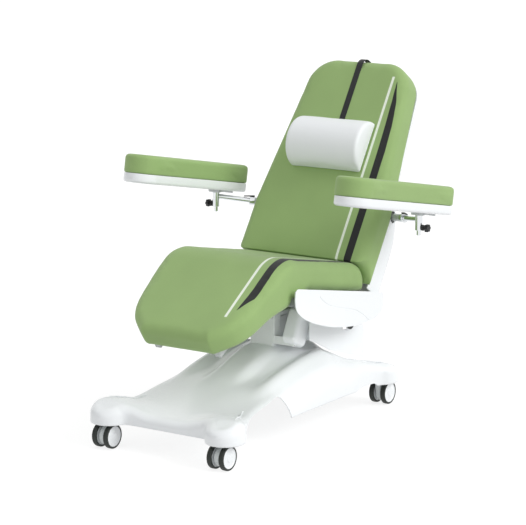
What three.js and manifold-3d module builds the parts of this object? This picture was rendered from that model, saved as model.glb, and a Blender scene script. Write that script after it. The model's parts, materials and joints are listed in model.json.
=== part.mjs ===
// Hemodialysis chair: wheeled base, lift column, tilting seat, reclining back, leg rest and two swing armrests.
// Millimetres, +Z up. +X is the occupant's left, -Y is the foot end. The chair stands on z = 0.
import * as THREE from "three";
import { mergeVertices } from "three/addons/utils/BufferGeometryUtils.js";
import Module from "manifold-3d";

const wasm = await Module();
wasm.setup();

// Clearances and small shared sizes
const gap = 0.3;
const overrun = 30;
const sheet = 4;

// Casters: twin wheels, swivelling about a stem that stands in a socket of the base frame
const wheelRadius = 50;
const wheelWidth = 23;
const wheelPitch = 56;
const wheelFlankRound = 6;
const wheelDish = 4;
const rimRadius = 42;
const hubRadius = 13;
const axleRadius = 6;
const casterTrail = 24;
const casterWeb = 26;
const casterWebRadius = 37;
const casterHeadRadius = 25;
const stemRadius = 11;
const stemLength = 34;
const casterHeight = 108;
const casterSpanX = 560;
const casterSpanY = 1162;

// Base cover: plan outline, heights and skirt
const lobeRadius = 80;
const baseHalfWidth = 300;
const recessY = 591;
const recessFillet = 42;
const waistStartY = 430;
const skirtBottom = 102;
const humpHeight = 324;
const coverFillet = 26;
const valleyDepth = 16;

// Base frame inside the cover
const spineWidth = 100;
const spineBottom = 104;
const spineTop = 140;
const beamDepth = 50;
const beamInset = 36;
const socketRadius = 30;
const socketTop = 152;

// Lift column
const columnHalfWidth = 59;
const columnFrontY = 88;
const columnDepth = 130;
const columnWall = 6;
const columnTop = 440;
const columnCorner = 10;
const liftOverlap = 280;
const liftDriveRadius = 24;
const liftRodRadius = 15;
const liftDriveTop = 425;
const liftTravel = 250;
const carriageThickness = 12;
const carriageMargin = 13;
const armPlate = 8;

// Seat plane: the crotch is where the seat's top meets the back's front
const crotchY = 361;
const crotchZ = 650;
const seatSlope = 11;
const seatThickness = 119;
const seatLength = 457;
const seatHalfWidth = 300;
const seatRearRound = 93;
const kneeRadius = 165;
const legSlope = 33.4;
const legLength = 404;
const footThickness = 101;
const legRearThickness = 119;
const footCornerRound = 42;
const padEdgeRound = 36;
const boardThickness = 12;
const boardInset = 28;
const legBluntAlong = 56;

// Back: lean from the vertical, outline and depth
const backLean = 33;
const backLength = 950;
const backThickness = 125;
const backHalfWidth = 325;
const backTopHalfWidth = 255;
const backTaperStart = 250;
const backTaperEnd = 790;
const backCornerRound = 140;
const backRearRound = 15;
const backHeelAngle = 97;

// Hinges
const backPivotAlong = -98;
const backPivotDrop = 136;
const pinRadius = 6;
const lugRadius = 13;
const railWidth = 26;
const railDepth = 38;
const railSpacing = 186;
const innerRailSpacing = 146;

// Tilt shaft under the seat's rear
const tiltY = 440;
const tiltZ = 372;
const tiltShaftRadius = 15;
const tiltLugRadius = 24;
const tiltLugX = 212;
const tiltCapThickness = 6;

// Side fairings
const fairingThickness = 21;
const fairingDepth = 137;
const fairingFront = 488;
const fairingRear = 189;
const fairingRound = 8;
const fairingSkin = 5;
const seamWidth = 3;
const seamDepth = 1.5;

// Lift shroud
const shroudHalfWidth = 200;
const shroudFrontY = 150;
const shroudRearY = 625;
const shroudCorner = 60;
const shroudLow = 186;
const shroudHigh = 432;

// Back shell
const shellHalfWidth = 300;
const shellInset = 12;
const shellDepth = 27;
const bulgeDepth = 112;
const bulgeAboveArm = 61;
const bulgeBelowArm = 59;
const bulgeFullBelowArm = 111;
const bulgeStart = 40;
const bulgeEase = 6;
const bulgeDrop = 22;
const bulgeFoot = 12;
const bulgeFade = 60;
const shellBottom = -55;

// Actuators
const motorWidth = 64;
const motorLength = 128;
const rodRadius = 10;
const tubeActuatorRadius = 21;
const leverArm = 72;
const eyeRadius = 17;
const openPivotClearance = 7;
const leverPin = 5;
const tiltPinY = 170;
const tiltPinZ = 492;
const tiltRodLean = 26.5;
const motorFootZ = 344;
const motorStandOff = 2;
const legActuatorX = -105;
const backActuatorX = 105;
const driveLengthShare = 0.28;
const driveStandOffShare = 0.197;
const backStandOff = 130;
const legTravel = 44;
const backTravel = 57;

// Armrests
const postX = 512;
const postY = 495;
const socketHead = 861;
const socketLength = 65;
const armSocketRadius = 14;
const postRadius = 9;
const armCornerDrop = 19;
const armFall = 36.2;
const armDepth = 162;
const elbowInset = 18;
const elbowBehind = 7;
const elbowDrop = 3;
const elbowReach = 40;
const sleeveFromCorner = 150;
const sleeveBore = 92;
const tubeInsert = 80;
const postTail = 22;
const armTubeRadius = 11;
const sleeveRadius = 16;
const armSlope = 10.3;
const trayThickness = 41;
const armPadThickness = 77;
const armWidth = 165;
const armForward = 592;
const armRearward = 160;
const armRearRound = 34;
const armPadRound = 16;
const trayInset = 3;
const trayRise = 3;
const bracketThickness = 11;
const bracketLength = 90;
const bracketWidth = 56;
const knobRadius = 17;
const knobLength = 18;
const knobDrop = 53;
const knobStemRadius = 5;
const knobReach = 32;
const leverFromEnd = 14;
const leverLength = 46;
const leverHeight = 7;
const leverRise = 2;

// Pillow and strap
const pillowHalfLength = 173;
const pillowCentre = 523;
const pillowHalfHeight = 118;
const pillowDepth = 112;
const pillowEndRound = 24;
const strapWidth = 28;
const strapThickness = 2;
const strapLowEnd = 500;

const degrees = Math.PI / 180;
const finishes = {
  white: new THREE.MeshStandardMaterial({ color: 0xf2f4f5, roughness: 0.28 }),
  grey: new THREE.MeshStandardMaterial({ color: 0xb9bfc0, roughness: 0.45, metalness: 0.2 }),
  steel: new THREE.MeshStandardMaterial({ color: 0x9aa0a3, roughness: 0.5, metalness: 0.6 }),
  chrome: new THREE.MeshStandardMaterial({ color: 0xd9dcde, roughness: 0.12, metalness: 1 }),
  green: new THREE.MeshStandardMaterial({ color: 0x9bbd72, roughness: 0.75 }),
  black: new THREE.MeshStandardMaterial({ color: 0x16191b, roughness: 0.5 }),
  board: new THREE.MeshStandardMaterial({ color: 0xc9b48a, roughness: 0.8 }),
  pillow: new THREE.MeshStandardMaterial({ color: 0xe9eced, roughness: 0.6 }),
};

const chair = new THREE.Group();

// Solids and cuts

function turnedOut(geometry) {
  const position = geometry.getAttribute("position");
  const index = geometry.index.array;
  const [a, b, c] = [new THREE.Vector3(), new THREE.Vector3(), new THREE.Vector3()];
  let volume = 0;
  for (let i = 0; i < index.length; i += 3) {
    a.fromBufferAttribute(position, index[i]);
    b.fromBufferAttribute(position, index[i + 1]);
    c.fromBufferAttribute(position, index[i + 2]);
    volume += a.dot(b.cross(c));
  }
  if (volume < 0) {
    for (let i = 0; i < index.length; i += 3) {
      [index[i + 1], index[i + 2]] = [index[i + 2], index[i + 1]];
    }
  }
  return geometry;
}

// Joins coinciding points and drops the faces that this leaves without area.
function welded(geometry) {
  const bare = geometry.clone();
  bare.deleteAttribute("normal");
  bare.deleteAttribute("uv");
  const merged = mergeVertices(bare, 1e-3);
  const faces = [];
  for (let i = 0; i < merged.index.count; i += 3) {
    const [a, b, c] = merged.index.array.slice(i, i + 3);
    if (a !== b && b !== c && a !== c) faces.push(a, b, c);
  }
  return turnedOut(merged.setIndex(faces));
}

function solid(geometry) {
  const closed = welded(geometry);
  return new wasm.Manifold(
    new wasm.Mesh({
      numProp: 3,
      vertProperties: new Float32Array(closed.getAttribute("position").array),
      triVerts: new Uint32Array(closed.index.array),
    }),
  );
}

function surface(body) {
  const mesh = body.getMesh();
  return new THREE.BufferGeometry()
    .setAttribute("position", new THREE.BufferAttribute(new Float32Array(mesh.vertProperties), 3))
    .setIndex(new THREE.BufferAttribute(new Uint32Array(mesh.triVerts), 1));
}

function joined(...geometries) {
  return surface(geometries.map(solid).reduce((sum, next) => sum.add(next)));
}

function cut(geometry, ...cutters) {
  return surface(cutters.map(solid).reduce((rest, next) => rest.subtract(next), solid(geometry)));
}

function common(first, second) {
  return surface(solid(first).intersect(solid(second)));
}

function place(name, geometry, finish, parent = chair) {
  const closed = welded(geometry.index ? geometry : mergeVertices(geometry));
  closed.computeVertexNormals();
  const mesh = new THREE.Mesh(closed, finishes[finish]);
  mesh.name = name;
  parent.add(mesh);
  return mesh;
}

// Profiles

const pair = (x, y) => new THREE.Vector2(x, y);

function arc(centre, radius, from, to, steps) {
  return Array.from({ length: steps + 1 }, (_, i) => {
    const angle = (from + ((to - from) * i) / steps) * degrees;
    return pair(centre.x + radius * Math.cos(angle), centre.y + radius * Math.sin(angle));
  });
}

function roundedBox(halfWidth, halfHeight, radius, steps = 4) {
  const corners = [
    [1, 1, 0],
    [-1, 1, 90],
    [-1, -1, 180],
    [1, -1, 270],
  ];
  return corners.flatMap(([sx, sy, start]) =>
    arc(pair(sx * (halfWidth - radius), sy * (halfHeight - radius)), radius, start, start + 90, steps),
  );
}

// Replaces a sharp corner of an outline by an arc that touches both sides.
function rounded(points, radii, steps = 5) {
  return points.flatMap((corner, i) => {
    const radius = radii[i];
    if (!radius) return [corner];
    const before = points[(i + points.length - 1) % points.length];
    const after = points[(i + 1) % points.length];
    const back = before.clone().sub(corner).normalize();
    const on = after.clone().sub(corner).normalize();
    const half = Math.acos(THREE.MathUtils.clamp(back.dot(on), -1, 1)) / 2;
    const reach = radius / Math.tan(half);
    const middle = back.clone().add(on).normalize().multiplyScalar(radius / Math.sin(half)).add(corner);
    const start = corner.clone().addScaledVector(back, reach).sub(middle);
    const end = corner.clone().addScaledVector(on, reach).sub(middle);
    const turn = Math.atan2(start.x * end.y - start.y * end.x, start.dot(end));
    return Array.from({ length: steps + 1 }, (_, k) =>
      start.clone().rotateAround(pair(0, 0), (turn * k) / steps).add(middle),
    );
  });
}

function inset(outline, distance) {
  const turn = THREE.ShapeUtils.isClockWise(outline) ? -1 : 1;
  return outline.map((point, i) => {
    const before = outline[(i + outline.length - 1) % outline.length];
    const after = outline[(i + 1) % outline.length];
    const first = point.clone().sub(before).normalize();
    const second = after.clone().sub(point).normalize();
    const along = first.clone().add(second).normalize();
    const inward = pair(-along.y * turn, along.x * turn);
    const stretch = Math.max(first.dot(along), 0.5);
    return point.clone().addScaledVector(inward, distance / stretch);
  });
}

// A solid whose cross-sections are one outline, drawn in by each level's inset: u, v and w are its axes.
function slab(points, levels, toWorld) {
  const outline = THREE.ShapeUtils.isClockWise(points) ? [...points].reverse() : points;
  const rings = levels.map(({ at, by }) => inset(outline, by).map((p) => toWorld(p.x, p.y, at)));
  const size = outline.length;
  const positions = rings.flat().flatMap((p) => [p.x, p.y, p.z]);
  const index = [];
  rings.slice(1).forEach((_, k) => {
    for (let i = 0; i < size; i += 1) {
      const j = (i + 1) % size;
      const [a, b] = [k * size + i, k * size + j];
      index.push(a, b, b + size, a, b + size, a + size);
    }
  });
  const last = (rings.length - 1) * size;
  const faces = (by) => THREE.ShapeUtils.triangulateShape(inset(outline, by), []);
  faces(levels[0].by).forEach(([a, b, c]) => index.push(a, c, b));
  faces(levels.at(-1).by).forEach(([a, b, c]) => index.push(last + a, last + b, last + c));
  return turnedOut(
    new THREE.BufferGeometry()
      .setAttribute("position", new THREE.Float32BufferAttribute(positions, 3))
      .setIndex(index),
  );
}

// Levels of a slab from one face to the other, with a quarter-round at each face.
function softLevels(from, to, startRound, endRound, steps = 4) {
  const levels = [];
  for (let i = 0; i <= steps && startRound > 0; i += 1) {
    const angle = (90 * i * degrees) / steps;
    levels.push({ at: from + startRound * (1 - Math.cos(angle)), by: startRound * (1 - Math.sin(angle)) });
  }
  if (!startRound) levels.push({ at: from, by: 0 });
  for (let i = 0; i <= steps && endRound > 0; i += 1) {
    const angle = (90 * i * degrees) / steps;
    levels.push({ at: to - endRound * (1 - Math.sin(angle)), by: endRound * (1 - Math.cos(angle)) });
  }
  if (!endRound) levels.push({ at: to, by: 0 });
  return levels;
}

const across = (y, z, x) => new THREE.Vector3(x, y, z);
const upright = (x, y, z) => new THREE.Vector3(x, y, z);

function plate(outline, from, to, toWorld = across) {
  return slab(outline, softLevels(Math.min(from, to), Math.max(from, to), 0, 0), toWorld);
}

function block(x0, x1, y0, y1, z0, z1) {
  return new THREE.BoxGeometry(x1 - x0, y1 - y0, z1 - z0).translate(
    (x0 + x1) / 2,
    (y0 + y1) / 2,
    (z0 + z1) / 2,
  );
}

function rodAlongX(radius, x0, x1, y, z, sides = 16) {
  return new THREE.CylinderGeometry(radius, radius, x1 - x0, sides)
    .rotateZ(Math.PI / 2)
    .translate((x0 + x1) / 2, y, z);
}

function rodBetween(start, end, radius, sides = 16) {
  const along = end.clone().sub(start);
  const turn = new THREE.Quaternion().setFromUnitVectors(
    new THREE.Vector3(0, 1, 0),
    along.clone().normalize(),
  );
  return new THREE.CylinderGeometry(radius, radius, along.length(), sides)
    .applyQuaternion(turn)
    .translate(...start.clone().add(end).multiplyScalar(0.5).toArray());
}

// Frames of the upholstered parts, in the chair's own Y and Z

const crotch = pair(crotchY, crotchZ);
const seatForward = pair(-Math.cos(seatSlope * degrees), Math.sin(seatSlope * degrees));
const seatUp = pair(Math.sin(seatSlope * degrees), Math.cos(seatSlope * degrees));
const backUp = pair(Math.sin(backLean * degrees), Math.cos(backLean * degrees));
const backRear = pair(Math.cos(backLean * degrees), -Math.sin(backLean * degrees));
const legForward = pair(-Math.cos(legSlope * degrees), -Math.sin(legSlope * degrees));
const legUp = pair(-Math.sin(legSlope * degrees), Math.cos(legSlope * degrees));

const from = (origin, first, second, a, b) =>
  origin.clone().addScaledVector(first, a).addScaledVector(second, b);
const onSeat = (along, up) => from(crotch, seatForward, seatUp, along, up);
const onBack = (along, behind) => from(crotch, backUp, backRear, along, behind);
const knee = onSeat(seatLength, -kneeRadius);
const onLeg = (along, up) => from(knee, legForward, legUp, along, up);
const backPivot = onSeat(backPivotAlong, -backPivotDrop);

// Casters

function wheelGeometry(side) {
  const half = wheelWidth / 2;
  const hubReach = wheelPitch / 2 - casterWeb / 2 - gap;
  const flank = (centreX, start) =>
    arc(pair(wheelRadius - wheelFlankRound, centreX), wheelFlankRound, start, start + 90, 1);
  const profile = [
    pair(0, half - 2 * wheelDish),
    pair(axleRadius + gap, half - 2 * wheelDish),
    pair(axleRadius + gap, -hubReach),
    pair(hubRadius, -hubReach),
    pair(hubRadius, -half + wheelDish),
    pair(rimRadius - wheelDish, -half + wheelDish),
    pair(rimRadius, -half),
    ...flank(-half + wheelFlankRound, -90),
    ...flank(half - wheelFlankRound, 0),
    pair(rimRadius, half),
    pair(rimRadius - wheelDish / 2, half - wheelDish),
    pair(0, half - wheelDish),
  ];
  const facets = 18;
  const flatToFlat = 1 / Math.cos(Math.PI / facets);
  return new THREE.LatheGeometry(profile, facets, Math.PI / facets)
    .rotateZ(-Math.PI / 2)
    .scale(side, flatToFlat, flatToFlat);
}

function casterHousing(trail) {
  const top = casterHeight - gap;
  const web = plate(
    [
      ...arc(pair(trail, wheelRadius), casterWebRadius, trail > 0 ? -150 : 90, trail > 0 ? 90 : 330, 12),
      pair(trail > 0 ? -casterHeadRadius : 0, top - casterHeadRadius / 4),
    ].sort(
      (a, b) =>
        Math.atan2(a.y - wheelRadius, a.x - trail / 2) - Math.atan2(b.y - wheelRadius, b.x - trail / 2),
    ),
    -casterWeb / 2,
    casterWeb / 2,
  );
  const neck = plate(
    [
      pair(-casterHeadRadius / 2, wheelRadius),
      pair(casterHeadRadius / 2, wheelRadius),
      pair(casterHeadRadius / 2, top - armPlate / 2),
      pair(-casterHeadRadius / 2, top - armPlate / 2),
    ],
    -casterWeb / 2,
    casterWeb / 2,
  );
  const head = new THREE.CylinderGeometry(casterHeadRadius, casterHeadRadius, armPlate, 24)
    .rotateX(Math.PI / 2)
    .translate(0, 0, top - armPlate / 2);
  const stem = new THREE.CylinderGeometry(stemRadius, stemRadius, stemLength + armPlate, 20)
    .rotateX(Math.PI / 2)
    .translate(0, 0, top + (stemLength - armPlate) / 2);
  const reach = wheelPitch / 2 + wheelWidth / 2 - 2 * wheelDish - gap;
  const axle = rodAlongX(axleRadius, -reach, reach, trail, wheelRadius, 20);
  return joined(web, neck, head, stem, axle);
}

function addCasters() {
  const corners = [
    ["front_left", 1, -1],
    ["front_right", -1, -1],
    ["rear_left", 1, 1],
    ["rear_right", -1, 1],
  ];
  corners.forEach(([name, sideX, sideY]) => {
    const caster = new THREE.Group();
    caster.position.set((sideX * casterSpanX) / 2, (sideY * casterSpanY) / 2, 0);
    chair.add(caster);
    const trail = sideY * casterTrail;
    place(`caster_housing_${name}`, casterHousing(trail), "white", caster);
    [
      ["outer", sideX],
      ["inner", -sideX],
    ].forEach(([which, side]) => {
      const wheel = place(`wheel_${which}_${name}`, wheelGeometry(side), "black", caster);
      wheel.position.set((side * wheelPitch) / 2, trail, wheelRadius);
    });
  });
}

// Base cover: heights along the length, as shares of the half length and of the hump

const ridgeShares = [
  [-1.16, 0.42],
  [-1.0, 0.58],
  [-0.88, 0.575],
  [-0.74, 0.53],
  [-0.47, 0.61],
  [-0.22, 0.7],
  [0, 0.79],
  [0.2, 0.91],
  [0.34, 0.94],
  [0.55, 0.8],
  [0.8, 0.64],
  [1.0, 0.57],
  [1.16, 0.42],
];
const spineShares = [
  [-1.16, 0.42],
  [-1.0, 0.46],
  [-0.74, 0.54],
  [-0.47, 0.67],
  [-0.22, 0.83],
  [0, 0.96],
  [0.15, 1.0],
  [0.34, 1.0],
  [0.55, 0.84],
  [0.8, 0.62],
  [1.0, 0.5],
  [1.16, 0.42],
];
const halfBase = casterSpanY / 2;
const heightCurve = (shares) =>
  new THREE.SplineCurve(shares.map(([along, up]) => pair(along * halfBase, up * humpHeight)));
const curves = [ridgeShares, spineShares].map((shares) => heightCurve(shares).getPoints(120));

function heightAt(points, y) {
  const k = Math.max(1, points.findIndex((p, i) => i > 0 && p.x >= y));
  const [a, b] = [points[k - 1], points[k]];
  return THREE.MathUtils.lerp(a.y, b.y, THREE.MathUtils.clamp((y - a.x) / (b.x - a.x), 0, 1));
}

const ridgeAcrossShare = 0.86;
const spineAcrossShare = 0.22;
const valleyAcrossShare = 0.6;
const valleySpreadShare = 0.2;
const valleyAlongShare = 0.62;

function coverHeight(x, y) {
  const [ridge, spine] = curves.map((points) => heightAt(points, y));
  const side = Math.abs(x) / baseHalfWidth;
  const blend = THREE.MathUtils.smoothstep(side, spineAcrossShare, ridgeAcrossShare);
  const acrossFall = Math.exp(-(((side - valleyAcrossShare) / valleySpreadShare) ** 2));
  const alongFall = Math.exp(-((y / halfBase / valleyAlongShare) ** 2));
  return THREE.MathUtils.lerp(spine, ridge, blend) - valleyDepth * acrossFall * alongFall;
}

// One quarter of the plan outline, from the middle of the end to the middle of the side.
function coverQuarter() {
  const lobe = pair(casterSpanX / 2, -halfBase);
  const innerAngle = 203;
  const outerAngle = 402;
  const edge = (angle) => arc(lobe, lobeRadius, angle, angle, 1)[0];
  const inner = edge(innerAngle);
  const outer = edge(outerAngle);
  const recess = pair(inner.x - recessFillet, -recessY);
  const path = new THREE.Path().moveTo(0, -recessY).lineTo(recess.x, recess.y);
  path.quadraticCurveTo(inner.x, -recessY, inner.x, inner.y);
  const entry = path.getPoints(4).slice(1);
  const round = arc(lobe, lobeRadius, innerAngle, outerAngle, 11).slice(1);
  const flank = new THREE.QuadraticBezierCurve(
    outer,
    pair(baseHalfWidth + (outer.x - baseHalfWidth) / 4, (outer.y - waistStartY) / 2),
    pair(baseHalfWidth, -waistStartY / 2),
  ).getPoints(4).slice(1);
  return [pair(0, -recessY), ...entry, ...round, ...flank, pair(baseHalfWidth, 0)];
}

function coverOutline() {
  const quarter = coverQuarter();
  const half = [...quarter, ...quarter.slice(0, -1).reverse().map((p) => pair(p.x, -p.y))];
  const other = half.slice(1, -1).reverse().map((p) => pair(-p.x, p.y));
  return [...half, ...other];
}

const ringShares = [0, 0.3, 0.6, 0.85];
const spineReachShare = 0.8;

// Rings of the cover from its middle line out to the skirt; drop moves the whole surface inwards.
function coverRings(outline, drop) {
  const shoulder = inset(outline, coverFillet);
  const middle = shoulder.map((p) =>
    pair(0, THREE.MathUtils.clamp(p.y, -recessY, recessY) * spineReachShare),
  );
  const rings = ringShares.map((share) =>
    shoulder.map((p, i) => {
      const at = middle[i].clone().lerp(p, share);
      return upright(at.x, at.y, coverHeight(at.x, at.y) - drop);
    }),
  );
  const radius = coverFillet - drop;
  for (let k = 0; k <= 2; k += 1) {
    const angle = 45 * k * degrees;
    const edge = inset(outline, coverFillet - radius * Math.sin(angle));
    rings.push(
      edge.map((p, i) =>
        upright(p.x, p.y, coverHeight(shoulder[i].x, shoulder[i].y) - coverFillet + radius * Math.cos(angle)),
      ),
    );
  }
  return rings;
}

function coverShell() {
  const outline = coverOutline();
  const outer = coverRings(outline, 0);
  const innerOutline = outline;
  const inner = coverRings(innerOutline, sheet);
  const foot = outline.map((p) => upright(p.x, p.y, skirtBottom));
  const innerFoot = inset(outline, sheet).map((p) => upright(p.x, p.y, skirtBottom));
  const rings = [...outer, foot, innerFoot, ...inner.reverse()];
  const size = outline.length;
  const positions = rings.flat().flatMap((p) => [p.x, p.y, p.z]);
  const index = [];
  for (let k = 0; k < rings.length - 1; k += 1) {
    for (let i = 0; i < size; i += 1) {
      const [a, b] = [k * size + i, k * size + ((i + 1) % size)];
      index.push(a, b, b + size, a, b + size, a + size);
    }
  }
  const raw = new THREE.BufferGeometry()
    .setAttribute("position", new THREE.Float32BufferAttribute(positions, 3))
    .setIndex(index);
  return raw;
}

const frontNotchShares = [
  [-0.866, 0],
  [-0.856, 0.19],
  [-0.835, 0.228],
  [-0.335, 0.435],
  [-0.31, 0.41],
  [-0.235, 0],
];
const rearNotchShares = [
  [0.6, 0],
  [0.64, 0.03],
  [0.69, 0.07],
  [0.82, 0.075],
  [0.86, 0],
];

function notch(shares, side) {
  const up = humpHeight - skirtBottom;
  const outline = [
    ...shares.map(([along, share]) => pair(along * halfBase, skirtBottom + share * up)),
    pair(shares.at(-1)[0] * halfBase, skirtBottom - overrun),
    pair(shares[0][0] * halfBase, skirtBottom - overrun),
  ];
  return plate(outline, (side * baseHalfWidth) / 2, side * (baseHalfWidth + lobeRadius + overrun));
}

function baseCover() {
  const columnHole = block(
    -columnHalfWidth - gap,
    columnHalfWidth + gap,
    columnFrontY - gap,
    columnFrontY + columnDepth + gap,
    spineTop,
    humpHeight + overrun,
  );
  return cut(
    coverShell(),
    columnHole,
    notch(frontNotchShares, 1),
    notch(frontNotchShares, -1),
    notch(rearNotchShares, 1),
    notch(rearNotchShares, -1),
  );
}

function baseFrame() {
  const beamY = halfBase - beamInset;
  const spine = block(-spineWidth / 2, spineWidth / 2, -beamY, beamY, spineBottom, spineTop);
  const beams = [-1, 1].map((side) =>
    block(
      -casterSpanX / 2,
      casterSpanX / 2,
      side * beamY - beamDepth / 2,
      side * beamY + beamDepth / 2,
      spineBottom + sheet,
      spineTop,
    ),
  );
  const sockets = [];
  const bores = [];
  [-1, 1].forEach((sx) =>
    [-1, 1].forEach((sy) => {
      const at = [(sx * casterSpanX) / 2, sy * halfBase];
      const tall = socketTop - casterHeight;
      sockets.push(
        new THREE.CylinderGeometry(socketRadius, socketRadius, tall, 24)
          .rotateX(Math.PI / 2)
          .translate(...at, casterHeight + tall / 2),
      );
      bores.push(
        new THREE.CylinderGeometry(stemRadius + gap, stemRadius + gap, tall + overrun, 20)
          .rotateX(Math.PI / 2)
          .translate(...at, casterHeight + tall / 2),
      );
    }),
  );
  return cut(joined(spine, ...beams, ...sockets), ...bores);
}

// Lift column, carriage and shroud

const columnMidY = columnFrontY + columnDepth / 2;


function uprightRod(radius, x, y, bottom, top, sides = 20) {
  return new THREE.CylinderGeometry(radius, radius, top - bottom, sides)
    .rotateX(Math.PI / 2)
    .translate(x, y, (top + bottom) / 2);
}

function liftDrive() {
  return cut(
    uprightRod(liftDriveRadius, 0, columnMidY, spineTop + gap, liftDriveTop),
    uprightRod(liftRodRadius + gap, 0, columnMidY, spineTop + sheet, liftDriveTop + overrun),
  );
}

function liftRod() {
  return uprightRod(liftRodRadius, 0, columnMidY, liftDriveTop - liftTravel - liftRodRadius, innerColumnTop);
}

function columnTube(halfX, halfY, wall, bottom, top) {
  const shape = (x, y, r) => roundedBox(x, y, r, 3).map((p) => pair(p.x, p.y + columnMidY));
  const outer = plate(shape(halfX, halfY, columnCorner), bottom, top, upright);
  const inner = plate(
    shape(halfX - wall, halfY - wall, columnCorner - wall / 2),
    bottom - overrun,
    top + overrun,
    upright,
  );
  return cut(outer, inner);
}

const innerColumnTop = columnTop + carriageThickness;
const capBottom = innerColumnTop + gap;
const capTop = capBottom + carriageThickness;
const motorX = columnHalfWidth + armPlate + motorWidth + columnCorner;
const tiltRodTop = pair(tiltPinY, tiltPinZ);
const tiltRodAxis = pair(Math.sin(tiltRodLean * degrees), Math.cos(tiltRodLean * degrees));
const footZ = motorFootZ;
const motorStart = tiltRodTop.clone().addScaledVector(tiltRodAxis, -motorLength - eyeRadius - motorStandOff);
const motorAside = pair(tiltRodAxis.y, -tiltRodAxis.x);
const onMotor = (along, aside) => from(motorStart, tiltRodAxis, motorAside, along, aside);

function carriage() {
  const capX = columnHalfWidth + carriageMargin;
  const cap = block(
    -capX,
    capX,
    columnFrontY - carriageMargin,
    columnFrontY + columnDepth + carriageMargin,
    capBottom,
    capTop,
  );
  const rearY = columnFrontY + columnDepth + carriageMargin;
  const sideOutline = [
    pair(columnMidY, capTop),
    pair(rearY, capTop),
    pair((rearY + tiltY) / 2, (capTop + tiltZ) / 2 + tiltLugRadius),
    pair(tiltY + tiltLugRadius / 2, tiltZ + tiltLugRadius),
    pair(tiltY + tiltLugRadius, tiltZ),
    pair(tiltY, tiltZ - tiltLugRadius),
    pair((rearY + tiltY) / 2, tiltZ - tiltLugRadius),
    pair(rearY, capBottom - tiltLugRadius),
    pair(columnMidY, capBottom),
  ];
  const plates = [-1, 1].map((side) =>
    plate(sideOutline, side * (columnHalfWidth + 1), side * (columnHalfWidth + 1 + armPlate)),
  );
  const barY = (rearY + tiltY) / 2;
  const barHalf = carriageThickness;
  const bar = block(
    -shroudHalfWidth + sheet + gap,
    shroudHalfWidth - sheet - gap,
    barY - barHalf,
    barY + barHalf,
    tiltZ - tiltLugRadius,
    tiltZ - tiltLugRadius + 2 * barHalf,
  );
  const footY = motorStart.x;
  const dropArm = block(
    columnHalfWidth + 2,
    columnHalfWidth + 2 + armPlate,
    footY - motorWidth / 3,
    footY + motorWidth / 3,
    footZ - armPlate,
    capTop,
  );
  const foot = plate(
    [
      onMotor(-gap, -motorWidth / 3),
      onMotor(-gap, motorWidth / 3),
      pair(footY + motorWidth / 3, footZ - armPlate),
      pair(footY - motorWidth / 3, footZ - armPlate),
    ],
    columnHalfWidth + 2,
    motorX + motorWidth / 3,
  );
  const shaftHole = rodAlongX(
    tiltShaftRadius + gap,
    -columnHalfWidth - overrun,
    columnHalfWidth + overrun,
    tiltY,
    tiltZ,
  );
  return cut(joined(cap, ...plates, bar, dropArm, foot), shaftHole);
}

const shroudShares = [
  [0, 0.68],
  [0.06, 0.64],
  [0.343, 0.375],
  [0.96, 0.01],
  [1, 0.16],
  [1, 0.34],
  [0.96, 0.5],
  [0.9, 0.64],
  [0.55, 0.66],
  [0.5, 0.81],
  [0.295, 0.88],
  [0, 1],
];

function shroud() {
  const length = shroudRearY - shroudFrontY;
  const plan = (by, frontOver) => {
    const x = shroudHalfWidth - by;
    const rear = shroudRearY - by;
    const radius = shroudCorner - by;
    return [
      pair(x, shroudFrontY - frontOver),
      ...arc(pair(x - radius, rear - radius), radius, 0, 90, 6),
      ...arc(pair(-x + radius, rear - radius), radius, 90, 180, 6),
      pair(-x, shroudFrontY - frontOver),
    ];
  };
  const outer = plate(plan(0, 0), shroudLow - overrun, shroudHigh + overrun, upright);
  const inner = plate(plan(sheet, overrun), shroudLow - 2 * overrun, shroudHigh + 2 * overrun, upright);
  const side = plate(
    shroudShares.map(([along, up]) =>
      pair(shroudFrontY + along * length, shroudLow + up * (shroudHigh - shroudLow)),
    ),
    -shroudHalfWidth - overrun,
    shroudHalfWidth + overrun,
  );
  return common(cut(outer, inner), side);
}

// Actuators

function tiltMotor() {
  const half = motorWidth / 2;
  const at = onMotor;
  const outline = rounded(
    [at(0, -half), at(0, half), at(motorLength, half), at(motorLength, -half)],
    [half / 2, half / 2, half / 2, half / 2],
  );
  const housing = slab(
    outline,
    softLevels(motorX - half, motorX + half, half / 3, half / 3, 3),
    across,
  );
  const bore = rodBetween(
    across(...at(motorLength * 0.2, 0).toArray(), motorX),
    across(...at(motorLength + overrun * 2, 0).toArray(), motorX),
    rodRadius + gap,
  );
  return cut(housing, bore);
}

// A rod with an eye that goes round its pin with the open pivot's clearance.
function eyeRod(startPoint, eyePoint, x, pin) {
  const eye = rodAlongX(eyeRadius, x - eyeRadius / 2, x + eyeRadius / 2, eyePoint.x, eyePoint.y, 28);
  const rod = rodBetween(across(startPoint.x, startPoint.y, x), across(eyePoint.x, eyePoint.y, x), rodRadius);
  const hole = rodAlongX(pin + openPivotClearance, x - overrun, x + overrun, eyePoint.x, eyePoint.y, 28);
  return cut(joined(rod, eye), hole);
}

function driveTube(rearPoint, frontPoint, x) {
  const start = across(rearPoint.x, rearPoint.y, x);
  const end = across(frontPoint.x, frontPoint.y, x);
  const tube = rodBetween(start, end, tubeActuatorRadius);
  const along = end.clone().sub(start).normalize();
  const motor = block(
    x - tubeActuatorRadius,
    x + tubeActuatorRadius,
    Math.min(start.y, start.y + along.y * motorWidth),
    Math.max(start.y, start.y + along.y * motorWidth),
    start.z - tubeActuatorRadius * 1.3,
    start.z + tubeActuatorRadius,
  );
  const bore = rodBetween(
    start.clone().addScaledVector(along, motorWidth / 3),
    end.clone().addScaledVector(along, overrun),
    rodRadius + gap,
  );
  return cut(joined(tube, motor), bore);
}

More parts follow.
